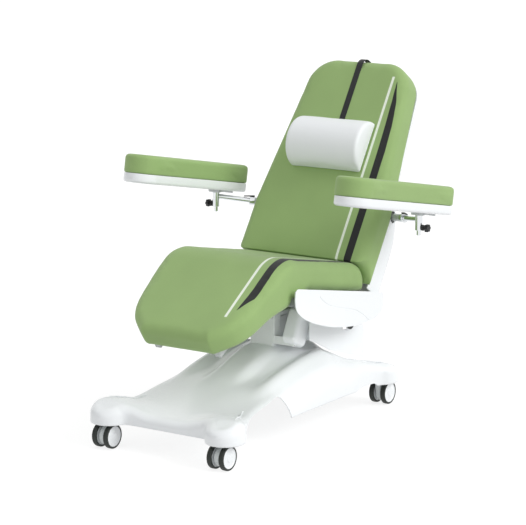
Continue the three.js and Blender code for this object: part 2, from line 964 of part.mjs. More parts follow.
const legLeverStart = from(
  knee,
  pair(1, 0),
  pair(0, -1),
  leverArm * Math.sin((legTravel / 2) * degrees),
  leverArm * Math.cos((legTravel / 2) * degrees),
);
const backLeverStart = from(
  backPivot,
  pair(1, 0),
  pair(0, -1),
  leverArm * Math.sin((backTravel / 2) * degrees),
  leverArm * Math.cos((backTravel / 2) * degrees),
);
const legSag = (leverArm * (1 - Math.cos((legTravel / 2) * degrees))) / 2;
const backSag = (leverArm * (1 - Math.cos((backTravel / 2) * degrees))) / 2;
const legEye = legLeverStart.clone().sub(pair(0, legSag));
const backEye = backLeverStart.clone().sub(pair(0, backSag));
const driveLength = seatLength * driveLengthShare;
const legDriveFront = pair(legEye.x + seatLength * driveStandOffShare, legEye.y);
const legDriveRear = pair(legDriveFront.x + driveLength, legEye.y);
const backDriveFront = pair(backEye.x - backStandOff, backEye.y);
const backDriveRear = pair(backDriveFront.x - driveLength, backEye.y);

// Seat frame, board, pad and fairings

const underPad = -seatThickness - gap;
const underBoard = underPad - boardThickness - gap;

function lug(centre, radius, x0, x1) {
  return rodAlongX(radius, Math.min(x0, x1), Math.max(x0, x1), centre.x, centre.y);
}

// Cross tubes, and the hanger of the back's actuator, as shares of the seat's length.
const crossShares = [0.1, 0.42, 0.72];
const backHangShare = 0.12;

function seatFrame() {
  const railTop = underBoard;
  const railLow = railTop - railDepth;
  const rail = [
    onSeat(backPivotAlong, railLow + railDepth / 2),
    onSeat(backPivotAlong + lugRadius, railTop),
    onSeat(seatLength - kneeRadius / 3, railTop),
    onSeat(seatLength, -kneeRadius + lugRadius),
    onSeat(seatLength, -kneeRadius - lugRadius),
    onSeat(seatLength - kneeRadius / 3, railLow),
    onSeat(backPivotAlong + lugRadius, railLow),
  ];
  const pieces = [];
  [-1, 1].forEach((side) => {
    const [x0, x1] = [side * (railSpacing - railWidth / 2), side * (railSpacing + railWidth / 2)];
    pieces.push(plate(rail, x0, x1));
    pieces.push(lug(knee, lugRadius, x0, x1));
    pieces.push(lug(backPivot, lugRadius, x0, x1));
    const lugX = side * tiltLugX;
    const hang = onSeat(-backPivotAlong / 2, railLow + railDepth / 2);
    const tiltLug = [
      pair(tiltY - tiltLugRadius, tiltZ),
      pair(tiltY + tiltLugRadius, tiltZ),
      pair(hang.x + tiltLugRadius * 2, hang.y - lugRadius),
      pair(hang.x + tiltLugRadius, hang.y + lugRadius),
      pair(hang.x - tiltLugRadius * 2, hang.y + lugRadius),
    ];
    pieces.push(plate(tiltLug, lugX - armPlate / 2, lugX + armPlate / 2));
    pieces.push(lug(pair(tiltY, tiltZ), tiltLugRadius, lugX - armPlate / 2, lugX + armPlate / 2));
  });
  const fairingFloor = seatHalfWidth + sheet + fairingThickness - fairingSkin - gap;
  crossShares.forEach((share) => {
    const at = onSeat(share * seatLength, railLow + railDepth / 2);
    pieces.push(rodAlongX(lugRadius, -fairingFloor, fairingFloor, at.x, at.y, 12));
  });
  const tiltCross = onSeat(seatLength * crossShares[1], railLow + railDepth / 2);
  pieces.push(
    plate(
      [
        pair(tiltRodTop.x - lugRadius, tiltRodTop.y),
        pair(tiltRodTop.x + lugRadius, tiltRodTop.y),
        pair(tiltCross.x + lugRadius, tiltCross.y),
        pair(tiltCross.x - lugRadius, tiltCross.y),
      ],
      motorX - eyeRadius - armPlate,
      motorX - eyeRadius,
    ),
    rodAlongX(leverPin, motorX - eyeRadius - armPlate / 2, motorX + eyeRadius, tiltRodTop.x, tiltRodTop.y, 16),
  );
  const hanger = (x, rearPoint, depthBelow) => {
    const low = rearPoint.y - depthBelow;
    const at = onSeat((crotchY - rearPoint.x) / seatForward.x / -1, railTop);
    return plate(
      [
        pair(rearPoint.x + gap, low),
        pair(rearPoint.x + gap + armPlate, low),
        onSeat(seatLength * crossShares[1] - lugRadius, railTop - lugRadius),
        onSeat(seatLength * crossShares[1] + lugRadius, railTop - lugRadius),
        pair(rearPoint.x + gap, Math.min(at.y - lugRadius * 2, rearPoint.y + tubeActuatorRadius * 2)),
      ],
      x - tubeActuatorRadius / 2,
      x + tubeActuatorRadius / 2,
    );
  };
  pieces.push(hanger(legActuatorX, legDriveRear, tubeActuatorRadius));
  const arm = (along) => onSeat(along, railTop - lugRadius);
  const backRest = backDriveRear.y + tubeActuatorRadius + gap;
  pieces.push(
    plate(
      [
        pair(backDriveRear.x, backRest),
        pair(backDriveRear.x + motorWidth / 2, backRest),
        arm(backHangShare * seatLength),
        arm(backHangShare * seatLength + motorWidth),
      ],
      backActuatorX - tubeActuatorRadius / 2,
      backActuatorX + tubeActuatorRadius / 2,
    ),
    plate(
      [
        arm(backHangShare * seatLength),
        arm(seatLength * crossShares[1]),
        onSeat(seatLength * crossShares[1], railLow + lugRadius / 2),
        onSeat(backHangShare * seatLength, railLow + lugRadius / 2),
      ],
      backActuatorX - tubeActuatorRadius / 2,
      backActuatorX + tubeActuatorRadius / 2,
    ),
  );
  const kneeBore = lug(knee, pinRadius + gap, -railSpacing - overrun, railSpacing + overrun);
  const backBore = lug(backPivot, pinRadius + gap, -railSpacing - overrun, railSpacing + overrun);
  const tiltBore = lug(
    pair(tiltY, tiltZ),
    tiltShaftRadius + gap,
    -tiltLugX - overrun,
    tiltLugX + overrun,
  );
  return cut(joined(...pieces), kneeBore, backBore, tiltBore);
}

const seatRearAngles = [160, 143, 126, 108, 90];
const noseAngles = [90, 80, 70, 60, 50, 40, 30, 20, 10, 0, -26];
const noseHeel = 0.68;

// A point at an angle about a centre, measured from the seat's forward direction towards its upward one.
function aboutSeat(centre, radius, angle) {
  const turn = angle * degrees;
  return from(centre, seatForward, seatUp, radius * Math.cos(turn), radius * Math.sin(turn));
}

// The arcs start with a long chord, so that the outline can be drawn in for the rounded edges.
function seatProfile() {
  const rear = onSeat(0, -seatRearRound);
  const heelAngle = 180 + Math.asin((seatThickness - seatRearRound) / seatRearRound) / degrees;
  return [
    ...[heelAngle, ...seatRearAngles].map((angle) => aboutSeat(rear, seatRearRound, angle)),
    ...noseAngles.map((angle) => aboutSeat(knee, kneeRadius, angle)),
    onSeat(seatLength - kneeRadius * noseHeel, -seatThickness),
  ];
}

function seatPad() {
  const body = slab(
    seatProfile(),
    softLevels(-seatHalfWidth, seatHalfWidth, padEdgeRound, padEdgeRound),
    across,
  );
  const pocket = plate(
    [
      onSeat(seatLength - kneeRadius * noseHeel - lugRadius, -seatThickness + boardThickness / 2),
      onSeat(seatLength - kneeRadius / 3, underPad - boardThickness / 2),
      onSeat(seatLength + lugRadius * 2, lugRadius * 2 - kneeRadius),
      onSeat(seatLength + lugRadius * 2, -kneeRadius * 2),
      onSeat(seatLength - kneeRadius * noseHeel - lugRadius, -kneeRadius * 2),
    ],
    -railSpacing - railWidth,
    railSpacing + railWidth,
  );
  const slots = [-1, 1].map((side) => {
    const reach = kneeRadius + overrun;
    const sweep = Array.from({ length: 7 }, (_, i) => {
      const angle = (-74 + (92 * i) / 6) * degrees;
      return onSeat(seatLength + reach * Math.cos(angle), -kneeRadius + reach * Math.sin(angle));
    });
    const lowBack = onSeat(seatLength - lugRadius * 1.5, -kneeRadius + lugRadius);
    return plate(
      [lowBack, ...sweep.reverse()],
      side * (innerRailSpacing - railWidth / 2 - 4),
      side * (innerRailSpacing + railWidth / 2 + 4),
    );
  });
  return cut(body, pocket, ...slots);
}

function seatBoard() {
  const x = seatHalfWidth - boardInset;
  const outline = [
    onSeat(-seatRearRound * 0.6, underPad),
    onSeat(seatLength - kneeRadius * 0.7, underPad),
    onSeat(seatLength - kneeRadius * 0.7, underPad - boardThickness),
    onSeat(-seatRearRound * 0.6, underPad - boardThickness),
  ];
  return plate(outline, -x, x);
}

const fairingShares = [
  [1, 0],
  [1, -0.28],
  [0.965, -0.62],
  [0.82, -0.85],
  [0.63, -0.975],
  [0.46, -1],
  [0.3, -0.965],
  [0.155, -0.8],
  [0.045, -0.64],
  [0, -0.24],
  [0.005, 0],
];
const seamShares = [
  [0.727, -0.24],
  [0.68, -0.35],
  [0.585, -0.44],
  [0.488, -0.475],
  [0.39, -0.5],
  [0.288, -0.58],
  [0.208, -0.73],
  [0.16, -0.86],
];

function fairingPoint([along, down]) {
  return onSeat(
    -fairingRear + along * (fairingFront + fairingRear),
    underPad + down * fairingDepth,
  );
}

function fairing(side) {
  const control = fairingShares.map(fairingPoint);
  const lower = new THREE.SplineCurve(control.slice(1, -1)).getPoints(22);
  const outline = [control[0], ...lower, control.at(-1)];
  const inner = seatHalfWidth + sheet;
  const outer = inner + fairingThickness;
  const levels = softLevels(inner, outer, 0, fairingRound, 3);
  const toSide = (y, z, x) => across(y, z, side * x);
  const body = slab(outline, levels, toSide);
  const pocket = slab(
    inset(outline, fairingSkin),
    [
      { at: inner - overrun, by: 0 },
      { at: outer - fairingSkin, by: 0 },
    ],
    toSide,
  );
  const seam = new THREE.SplineCurve(seamShares.map(fairingPoint)).getPoints(16);
  const band = [
    ...seam,
    ...seam
      .map((p, i) => {
        const next = seam[Math.min(i + 1, seam.length - 1)];
        const last = seam[Math.max(i - 1, 0)];
        const along = next.clone().sub(last).normalize();
        return pair(p.x - along.y * seamWidth, p.y + along.x * seamWidth);
      })
      .reverse(),
  ];
  const groove = plate(band, side * (outer - seamDepth), side * (outer + overrun));
  return cut(body, pocket, groove);
}

// Leg rest


function legPad() {
  const rearLow = kneeRadius - legRearThickness;
  const foot = kneeRadius - footThickness;
  const outline = rounded(
    [
      onLeg(legBluntAlong, kneeRadius),
      onLeg(legLength, kneeRadius),
      onLeg(legLength, foot),
      onLeg(kneeRadius - lugRadius, rearLow),
    ],
    [0, footCornerRound, footCornerRound, 0],
  );
  const toFoot = (y, z, x) => across(y, z, x * footShare(y));
  const body = slab(
    outline,
    softLevels(-seatHalfWidth, seatHalfWidth, padEdgeRound, padEdgeRound),
    toFoot,
  );
  return cut(
    body,
    rodAlongX(kneeRadius + gap, -seatHalfWidth - overrun, seatHalfWidth + overrun, knee.x, knee.y, 72),
  );
}

const footTaperShare = 0.93;
const footEndShare = 0.72;

// Half-width of the leg rest at y, as a share of the seat's half-width.
function footShare(y) {
  const start = onLeg(kneeRadius * 0.9, kneeRadius).x;
  const corner = onLeg(legLength * 0.72, kneeRadius).x;
  const end = onLeg(legLength, kneeRadius).x;
  if (y > start) return 1;
  if (y > corner) return THREE.MathUtils.mapLinear(y, start, corner, 1, footTaperShare);
  const turn = THREE.MathUtils.clamp((y - corner) / (end - corner), 0, 1);
  return footEndShare + (footTaperShare - footEndShare) * Math.sqrt(1 - turn * turn);
}

const legBoardLow = kneeRadius - legRearThickness;
const legFootLow = kneeRadius - footThickness;

function legBoard() {
  const x = seatHalfWidth * footEndShare - boardInset / 2;
  const start = kneeRadius + lugRadius;
  const end = legLength - boardInset;
  const rise = (along) =>
    THREE.MathUtils.mapLinear(along, kneeRadius, legLength, legBoardLow, legFootLow) - 1;
  return plate(
    [
      onLeg(start, rise(start)),
      onLeg(end, rise(end)),
      onLeg(end, rise(end) - boardThickness),
      onLeg(start, rise(start) - boardThickness),
    ],
    -x,
    x,
  );
}

function legFrame() {
  const start = kneeRadius + lugRadius;
  const end = legLength - boardInset * 1.5;
  const top = (along) =>
    THREE.MathUtils.mapLinear(along, kneeRadius, legLength, legBoardLow, legFootLow) - 1.6 - boardThickness;
  const rail = [
    onLeg(0, lugRadius),
    onLeg(start, top(start)),
    onLeg(end, top(end)),
    onLeg(end, top(end) - railWidth),
    onLeg(start, top(start) - railWidth),
    onLeg(0, -lugRadius),
  ];
  const pieces = [];
  [-1, 1].forEach((side) => {
    const [x0, x1] = [side * (innerRailSpacing - railWidth / 2), side * (innerRailSpacing + railWidth / 2)];
    pieces.push(plate(rail, x0, x1), lug(knee, lugRadius, x0, x1));
  });
  const crossAt = onLeg(legLength * 0.62, top(legLength * 0.62) - railWidth / 2);
  pieces.push(rodAlongX(lugRadius * 0.8, -innerRailSpacing, innerRailSpacing, crossAt.x, crossAt.y, 20));
  pieces.push(rodAlongX(lugRadius, -innerRailSpacing, innerRailSpacing, knee.x, knee.y, 24));
  pieces.push(leverPlates(knee, legLeverStart, legActuatorX));
  return cut(joined(...pieces), lug(knee, pinRadius + gap, -railSpacing, railSpacing));
}

// Two lever plates with a pin between them, which the eye of a rod goes round.
function leverPlates(pivot, end, x) {
  const along = end.clone().sub(pivot).normalize();
  const aside = pair(-along.y, along.x).multiplyScalar(lugRadius * 0.7);
  const tip = end.clone().addScaledVector(along, lugRadius * 0.7);
  const outline = [pivot.clone().add(aside), pivot.clone().sub(aside), tip.clone().sub(aside), tip.clone().add(aside)];
  const offset = eyeRadius / 2 + 3;
  const cheeks = [-1, 1].map((side) =>
    plate(outline, x + side * offset, x + side * (offset + armPlate / 2)),
  );
  const pin = rodAlongX(leverPin, x - offset - armPlate / 2, x + offset + armPlate / 2, end.x, end.y, 16);
  return joinedLoose([...cheeks, pin]);
}

function joinedLoose(pieces) {
  return joined(...pieces);
}

// Back: frame, board, shell, pad

function backOutline(by) {
  const half = backHalfWidth - by;
  const topHalf = backTopHalfWidth - by;
  const top = backLength - by;
  return { half, topHalf, top };
}

function backPlan(by, bottom) {
  const { half, topHalf, top } = backOutline(by);
  const slope = (backHalfWidth - backTopHalfWidth) / (backTaperEnd - backTaperStart);
  const cornerHalf = topHalf - (top - backTaperEnd) * slope * 0.4;
  const points = [
    pair(half, bottom),
    pair(half, backTaperStart),
    pair(cornerHalf, top),
    pair(-cornerHalf, top),
    pair(-half, backTaperStart),
    pair(-half, bottom),
  ];
  return rounded(points, [0, backTaperStart, backCornerRound, backCornerRound, backTaperStart, 0], 8);
}

const onBackFace = (x, along, behind) => {
  const at = onBack(along, behind);
  return new THREE.Vector3(x, at.x, at.y);
};

function backPad() {
  const bottom = -backPivotDrop * 1.2;
  const body = slab(
    backPlan(0, bottom),
    softLevels(0, backThickness, padEdgeRound, backRearRound, 4),
    onBackFace,
  );
  const rear = onSeat(0, -seatRearRound);
  const sweep = Array.from({ length: 12 }, (_, i) =>
    aboutSeat(rear, seatRearRound + gap * 2, 90 + (backHeelAngle * i) / 11),
  );
  const cutter = plate(
    [
      ...sweep,
      onBack(-backPivotDrop, backThickness * 1.3),
      onBack(-backPivotDrop * 2.4, backThickness * 1.3),
      onBack(-backPivotDrop * 2.4, -backThickness),
      onSeat(seatRearRound * 2, gap * 2),
    ],
    -backHalfWidth - overrun,
    backHalfWidth + overrun,
  );
  return cut(body, cutter);
}

function backBoard() {
  const outline = inset(backPlan(shellInset, 0), boardInset);
  const at = backThickness + gap;
  return slab(
    outline,
    [
      { at, by: 0 },
      { at: at + boardThickness - 2, by: 0 },
    ],
    onBackFace,
  );
}

const frameDepth = backThickness + boardThickness;
const armRise = socketHead - armCornerDrop - armFall - crotchZ;
const armHeight = (armRise + armDepth * backUp.x) / backUp.y;
const bulgeTop = armHeight + bulgeAboveArm;

function backFrame() {
  const rail = [
    onBack(-backPivotDrop * 0.65, frameDepth - 6),
    onBack(0, frameDepth),
    onBack(backLength * 0.72, frameDepth),
    onBack(backLength * 0.72, frameDepth + armPlate),
    onBack(armHeight + railWidth * 1.4, frameDepth + armPlate),
    onBack(armHeight + railWidth, frameDepth + railWidth),
    onBack(-backPivotDrop * 0.65, frameDepth + railWidth * 0.8),
  ];
  const pieces = [];
  [-1, 1].forEach((side) => {
    const [x0, x1] = [side * (innerRailSpacing - railWidth / 2), side * (innerRailSpacing + railWidth / 2)];
    pieces.push(plate(rail, x0, x1), lug(backPivot, lugRadius, x0, x1));
  });
  pieces.push(
    plate(
      [
        onBack(backLength * 0.68, frameDepth),
        onBack(backLength * 0.72, frameDepth),
        onBack(backLength * 0.72, frameDepth + armPlate),
        onBack(backLength * 0.68, frameDepth + armPlate),
      ],
      -innerRailSpacing,
      innerRailSpacing,
    ),
  );
  const brace = onBack(backLength * 0.1, frameDepth + railWidth * 0.4);
  pieces.push(rodAlongX(lugRadius * 0.7, -innerRailSpacing, innerRailSpacing, brace.x, brace.y, 20));
  pieces.push(rodAlongX(lugRadius, -innerRailSpacing, innerRailSpacing, backPivot.x, backPivot.y, 24));
  pieces.push(leverPlates(backPivot, backLeverStart, backActuatorX));
  return cut(joined(...pieces), lug(backPivot, pinRadius + gap, -railSpacing, railSpacing));
}

function shellSide(by) {
  const front = backThickness + gap * 2;
  const deep = front + bulgeDepth;
  const rear = front + shellDepth - by;
  const top = backLength;
  return [
    onBack(shellBottom - (by ? overrun : 0), front - (by ? overrun : 0)),
    onBack(shellBottom - (by ? overrun : 0), deep - by - bulgeEase),
    onBack(shellBottom + bulgeStart, deep - by),
    onBack(armHeight - bulgeFullBelowArm, deep - by - bulgeEase),
    onBack(armHeight - bulgeBelowArm, deep - by - bulgeDrop),
    onBack(armHeight + sleeveRadius, front + bulgeDepth * 0.55 - by),
    onBack(bulgeTop, rear + bulgeFoot),
    onBack(bulgeTop + bulgeFade, rear),
    onBack(top, rear),
    onBack(top, front - (by ? overrun : 0)),
  ];
}

function backShell() {
  const plan = (by) => {
    const outline = backPlan(shellInset + by, shellBottom - overrun).map((p) =>
      pair(THREE.MathUtils.clamp(p.x, -shellHalfWidth + by, shellHalfWidth - by), p.y),
    );
    return slab(
      outline,
      [
        { at: backThickness - overrun, by: 0 },
        { at: backThickness + bulgeDepth + overrun, by: 0 },
      ],
      onBackFace,
    );
  };
  const outer = common(plan(0), plate(shellSide(0), -shellHalfWidth, shellHalfWidth));
  const inner = common(plan(sheet), plate(shellSide(sheet), -shellHalfWidth, shellHalfWidth));
  return cut(outer, inner, armHole(1), armHole(-1));
}

// Armrests

const socketBottom = socketHead - socketLength;
const knobZ = socketHead - knobDrop;
const armCorner = new THREE.Vector3(postX, postY, socketHead - armCornerDrop);
const railEnd = onBackFace(innerRailSpacing + railWidth / 2 + 1, armHeight, armDepth);
const elbow = new THREE.Vector3(
  shellHalfWidth - elbowInset,
  railEnd.y + elbowBehind,
  railEnd.z - elbowDrop,
);
const armAxis = elbow.clone().sub(armCorner).normalize();
const sleeveEnd = armCorner.clone().addScaledVector(armAxis, sleeveFromCorner);

const mirrored = (point, side) => new THREE.Vector3(side * point.x, point.y, point.z);

function armHole(side) {
  const exit = elbow.clone().addScaledVector(armAxis, (shellHalfWidth - elbow.x) / armAxis.x);
  return rodAlongX(
    sleeveRadius * 1.6,
    Math.min(side * (shellHalfWidth - overrun / 2), side * (shellHalfWidth + overrun)),
    Math.max(side * (shellHalfWidth - overrun / 2), side * (shellHalfWidth + overrun)),
    exit.y,
    exit.z,
    24,
  );
}

function armSleeve(side) {
  const [start, bend, end] = [railEnd, elbow, sleeveEnd].map((p) => mirrored(p, side));
  const bendIn = bend.clone().add(start.clone().sub(bend).setLength(elbowReach));
  const bendOut = bend.clone().add(end.clone().sub(bend).setLength(elbowReach));
  const route = new THREE.CurvePath();
  route.add(new THREE.LineCurve3(start, bendIn));
  route.add(new THREE.QuadraticBezierCurve3(bendIn, bend, bendOut));
  route.add(new THREE.LineCurve3(bendOut, end));
  const section = new THREE.Shape().absarc(0, 0, sleeveRadius, 0, 2 * Math.PI);
  const pipe = new THREE.ExtrudeGeometry(section, {
    steps: 14,
    curveSegments: 8,
    extrudePath: route,
    bevelEnabled: false,
  });
  const axis = mirrored(armAxis, side);
  const bore = rodBetween(
    end.clone().addScaledVector(axis, sleeveBore),
    end.clone().addScaledVector(axis, -overrun),
    armTubeRadius + gap,
    20,
  );
  return cut(pipe, bore);
}

function armTube(side) {
  const corner = mirrored(armCorner, side);
  const end = mirrored(sleeveEnd.clone().addScaledVector(armAxis, tubeInsert), side);
  const tall = socketHead - socketBottom;
  const socket = new THREE.CylinderGeometry(armSocketRadius, armSocketRadius, tall, 28)
    .rotateX(Math.PI / 2)
    .translate(corner.x, corner.y, socketBottom + tall / 2);
  const bore = new THREE.CylinderGeometry(postRadius + gap, postRadius + gap, tall + overrun, 24)
    .rotateX(Math.PI / 2)
    .translate(corner.x, corner.y, socketBottom + tall / 2);
  const screwHole = rodAlongX(
    knobStemRadius + gap,
    Math.min(corner.x, corner.x + side * overrun),
    Math.max(corner.x, corner.x + side * overrun),
    corner.y,
    knobZ,
    16,
  );
  return cut(joined(rodBetween(corner, end, armTubeRadius), socket), bore, screwHole);
}

function armPost(side) {
  const bottom = socketBottom - postTail;
  const top = socketHead + bracketThickness - gap;
  return new THREE.CylinderGeometry(postRadius, postRadius, top - bottom, 24)
    .rotateX(Math.PI / 2)
    .translate(side * postX, postY, (top + bottom) / 2);
}

function armKnob(side) {
  const lobes = 6;
  const outline = Array.from({ length: 24 }, (_, i) => {
    const angle = (i / 24) * 2 * Math.PI;
    const radius = knobRadius * (0.88 + 0.12 * Math.cos(lobes * angle));
    return pair(postY + radius * Math.cos(angle), knobZ + radius * Math.sin(angle));
  });
  const start = postX + postRadius + gap;
  const head = slab(
    outline,
    softLevels(postX + knobReach, postX + knobReach + knobLength, 0, 4, 1),
    (y, z, x) => across(y, z, side * x),
  );
  const stem = rodAlongX(
    knobStemRadius,
    Math.min(side * start, side * (postX + knobReach + 2)),
    Math.max(side * start, side * (postX + knobReach + 2)),
    postY,
    knobZ,
    16,
  );
  return joined(head, stem);
}

function armLever(side) {
  const seat = mirrored(sleeveEnd.clone().addScaledVector(armAxis, leverFromEnd), side);
  const along = mirrored(armAxis, side).setZ(0).normalize();
  const turn = Math.atan2(along.y, along.x);
  const bar = new THREE.BoxGeometry(leverLength, leverHeight * 1.4, leverHeight)
    .translate(leverLength / 2 - leverHeight, 0, leverHeight / 2 + 3);
  const boss = new THREE.CylinderGeometry(leverHeight, leverHeight, leverHeight + 3, 20)
    .rotateX(Math.PI / 2)
    .translate(0, 0, (leverHeight + 3) / 2);
  return joined(bar, boss)
    .rotateZ(turn + Math.PI)
    .translate(seat.x, seat.y, seat.z + sleeveRadius + leverRise);
}

function armPlan(by) {
  const half = armWidth / 2 - by;
  const front = -armForward + by;
  const rear = armRearward - by;
  const radius = armRearRound - by;
  return [
    ...arc(pair(0, front + half), half, 180, 360, 16),
    ...arc(pair(half - radius, rear - radius), radius, 0, 90, 5),
    ...arc(pair(-half + radius, rear - radius), radius, 90, 180, 5),
  ];
}

function addArmrest(side, name) {
  place(`arm_sleeve_${name}`, armSleeve(side), "grey");
  place(`arm_tube_${name}`, armTube(side), "chrome");
  place(`arm_post_${name}`, armPost(side), "chrome");
  place(`arm_knob_${name}`, armKnob(side), "black");
  place(`arm_lever_${name}`, armLever(side), "black");
  const trayZ = socketHead + bracketThickness + trayRise;
  const rest = new THREE.Group();
  rest.position.set(side * postX, postY, trayZ);
  rest.rotation.x = -armSlope * degrees;
  chair.add(rest);
  const tray = slab(armPlan(trayInset), softLevels(gap, trayThickness, 12, 0, 3), upright);
  const pad = slab(
    armPlan(0),
    softLevels(trayThickness + gap, trayThickness + armPadThickness, 4, armPadRound, 3),
    upright,
  );
  place(`arm_tray_${name}`, tray, "white", rest);
  place(`arm_pad_${name}`, pad, "green", rest);
  place(`arm_bracket_${name}`, armBracket(side), "grey");
}

function armBracket(side) {
  const slope = Math.tan(armSlope * degrees);
  const trayZ = socketHead + bracketThickness + trayRise;
  const under = (y) => trayZ - (y - postY) * slope;
  const [y0, y1] = [postY - bracketWidth / 3, postY + bracketLength];
  const outline = [
    pair(y0, under(y0) - gap),
    pair(y0, socketHead + gap),
    pair(postY + armSocketRadius, socketHead + gap),
    pair(y1, under(y1) - bracketThickness),
    pair(y1, under(y1) - gap),
  ];
  const x = side * postX;
  const body = plate(outline, x - bracketWidth / 2, x + bracketWidth / 2);
  const bore = new THREE.CylinderGeometry(postRadius + gap, postRadius + gap, 4 * bracketThickness, 24)
    .rotateX(Math.PI / 2)
    .translate(x, postY, socketHead + bracketThickness);
  return cut(body, bore);
}

// Pillow and strap

function pillow() {
  const points = Array.from({ length: 12 }, (_, i) => {
    const angle = (180 * i * degrees) / 11;
    return pair(pillowCentre - pillowHalfHeight * Math.cos(angle), -gap * 2 - pillowDepth * Math.sin(angle));
  });
  const body = slab(
    points.map((p) => onBack(p.x, p.y)),
    softLevels(-pillowHalfLength, pillowHalfLength, pillowEndRound, pillowEndRound, 4),
    across,
  );
  const groove = plate(
    [
      onBack(pillowCentre - 2 * pillowHalfHeight, overrun),
      onBack(pillowCentre + 2 * pillowHalfHeight, overrun),
      onBack(pillowCentre + 2 * pillowHalfHeight, -strapThickness - gap * 4),
      onBack(pillowCentre - 2 * pillowHalfHeight, -strapThickness - gap * 4),
    ],
    -strapWidth / 2 - 1,
    strapWidth / 2 + 1,
  );
  return cut(body, groove);
}

function strap() {
  const line = (off) => [
    pair(strapLowEnd, -off),
    ...arc(pair(backLength - padEdgeRound, padEdgeRound), padEdgeRound + off, -90, 0, 6),
    ...arc(pair(backLength - backRearRound, backThickness - backRearRound), backRearRound + off, 0, 78, 4),
  ];
  const near = line(gap * 2);
  const far = line(gap * 2 + strapThickness);
  return plate(
    [...near, ...far.reverse()].map((p) => onBack(p.x, p.y)),
    -strapWidth / 2,
    strapWidth / 2,
  );
}

function controlBox() {
  const top = underBoard;
  const outline = rounded(
    [
      onSeat(seatLength * 0.5, top),
      onSeat(seatLength * 0.68, top),
      onSeat(seatLength * 0.68, top - railDepth),
      onSeat(seatLength * 0.5, top - railDepth),
    ],
    [3, 3, 3, 3],
    2,
  );
  return plate(outline, -columnHalfWidth, columnHalfWidth);
}

// Assembly

function addBase() {
  place("base_cover", baseCover(), "white");
  place("base_frame", baseFrame(), "steel");
  place(
    "column_outer",
    columnTube(columnHalfWidth, columnDepth / 2, columnWall, spineTop + gap, columnTop),
    "grey",
  );
  place("lift_drive_tube", liftDrive(), "steel");
  addCasters();
}

function addLift() {
  const slim = columnWall + gap;
  place(
    "column_inner",
    columnTube(
      columnHalfWidth - slim,
      columnDepth / 2 - slim,
      columnWall,
      columnTop - liftOverlap,
      innerColumnTop,
    ),
    "steel",
  );
  place("lift_carriage", carriage(), "steel");
  place("lift_shroud", shroud(), "white");
  const shaftReach = tiltLugX + armPlate / 2;
  place(
    "tilt_shaft",
    joined(
      rodAlongX(tiltShaftRadius, -shaftReach - tiltCapThickness, shaftReach + tiltCapThickness, tiltY, tiltZ),
      rodAlongX(tiltLugRadius, shaftReach + gap, shaftReach + tiltCapThickness, tiltY, tiltZ),
      rodAlongX(tiltLugRadius, -shaftReach - tiltCapThickness, -shaftReach - gap, tiltY, tiltZ),
    ),
    "black",
  );
  place("tilt_actuator_housing", tiltMotor(), "white");
  place(
    "tilt_actuator_rod",
    eyeRod(onMotor(motorLength * 0.3, 0), tiltRodTop, motorX, leverPin),
    "steel",
  );
  place("lift_push_rod", liftRod(), "steel");
}

function addSeat() {
  place("seat_frame", seatFrame(), "steel");
  place("seat_board", seatBoard(), "board");
  place("seat_pad", seatPad(), "green");
  place("fairing_left", fairing(1), "white");
  place("fairing_right", fairing(-1), "white");
  place("control_box", controlBox(), "black");
  const reach = railSpacing + railWidth / 2;
  place("knee_pin", lug(knee, pinRadius, -reach, reach), "steel");
  place("back_pin", lug(backPivot, pinRadius, -reach, reach), "steel");
  place("leg_actuator_housing", driveTube(legDriveRear, legDriveFront, legActuatorX), "black");
  place(
    "leg_actuator_rod",
    eyeRod(pair(legDriveRear.x - motorWidth * 0.8, legEye.y), legEye, legActuatorX, leverPin),
    "steel",
  );
  place("back_actuator_housing", driveTube(backDriveRear, backDriveFront, backActuatorX), "black");
  place(
    "back_actuator_rod",
    eyeRod(pair(backDriveFront.x - motorWidth / 2, backEye.y), backEye, backActuatorX, leverPin),
    "steel",
  );
}

function addLegRest() {
  place("leg_frame", legFrame(), "steel");
  place("leg_board", legBoard(), "board");
  place("leg_pad", legPad(), "green");
}

function addBack() {
  place("back_frame", backFrame(), "steel");
  place("back_board", backBoard(), "board");
  place("back_shell", backShell(), "white");
  place("back_pad", backPad(), "green");
  place("pillow", pillow(), "pillow");
  place("pillow_strap", strap(), "black");
}

addBase();
addLift();
addSeat();
addLegRest();
addBack();
addArmrest(1, "left");
addArmrest(-1, "right");

const bounds = new THREE.Box3().setFromObject(chair, true);
const middle = bounds.getCenter(new THREE.Vector3());
chair.position.set(-middle.x, -middle.y, -bounds.min.z);

export default chair;
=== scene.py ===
"""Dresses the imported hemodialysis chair: upholstery, shells, casters, arms and finishes, on the part's frame."""

import json
import logging
import math
from dataclasses import dataclass
from enum import Enum
from typing import Callable, Sequence

import bpy
import numpy as np
from mathutils import Matrix, Vector
from mathutils.geometry import convex_hull_2d

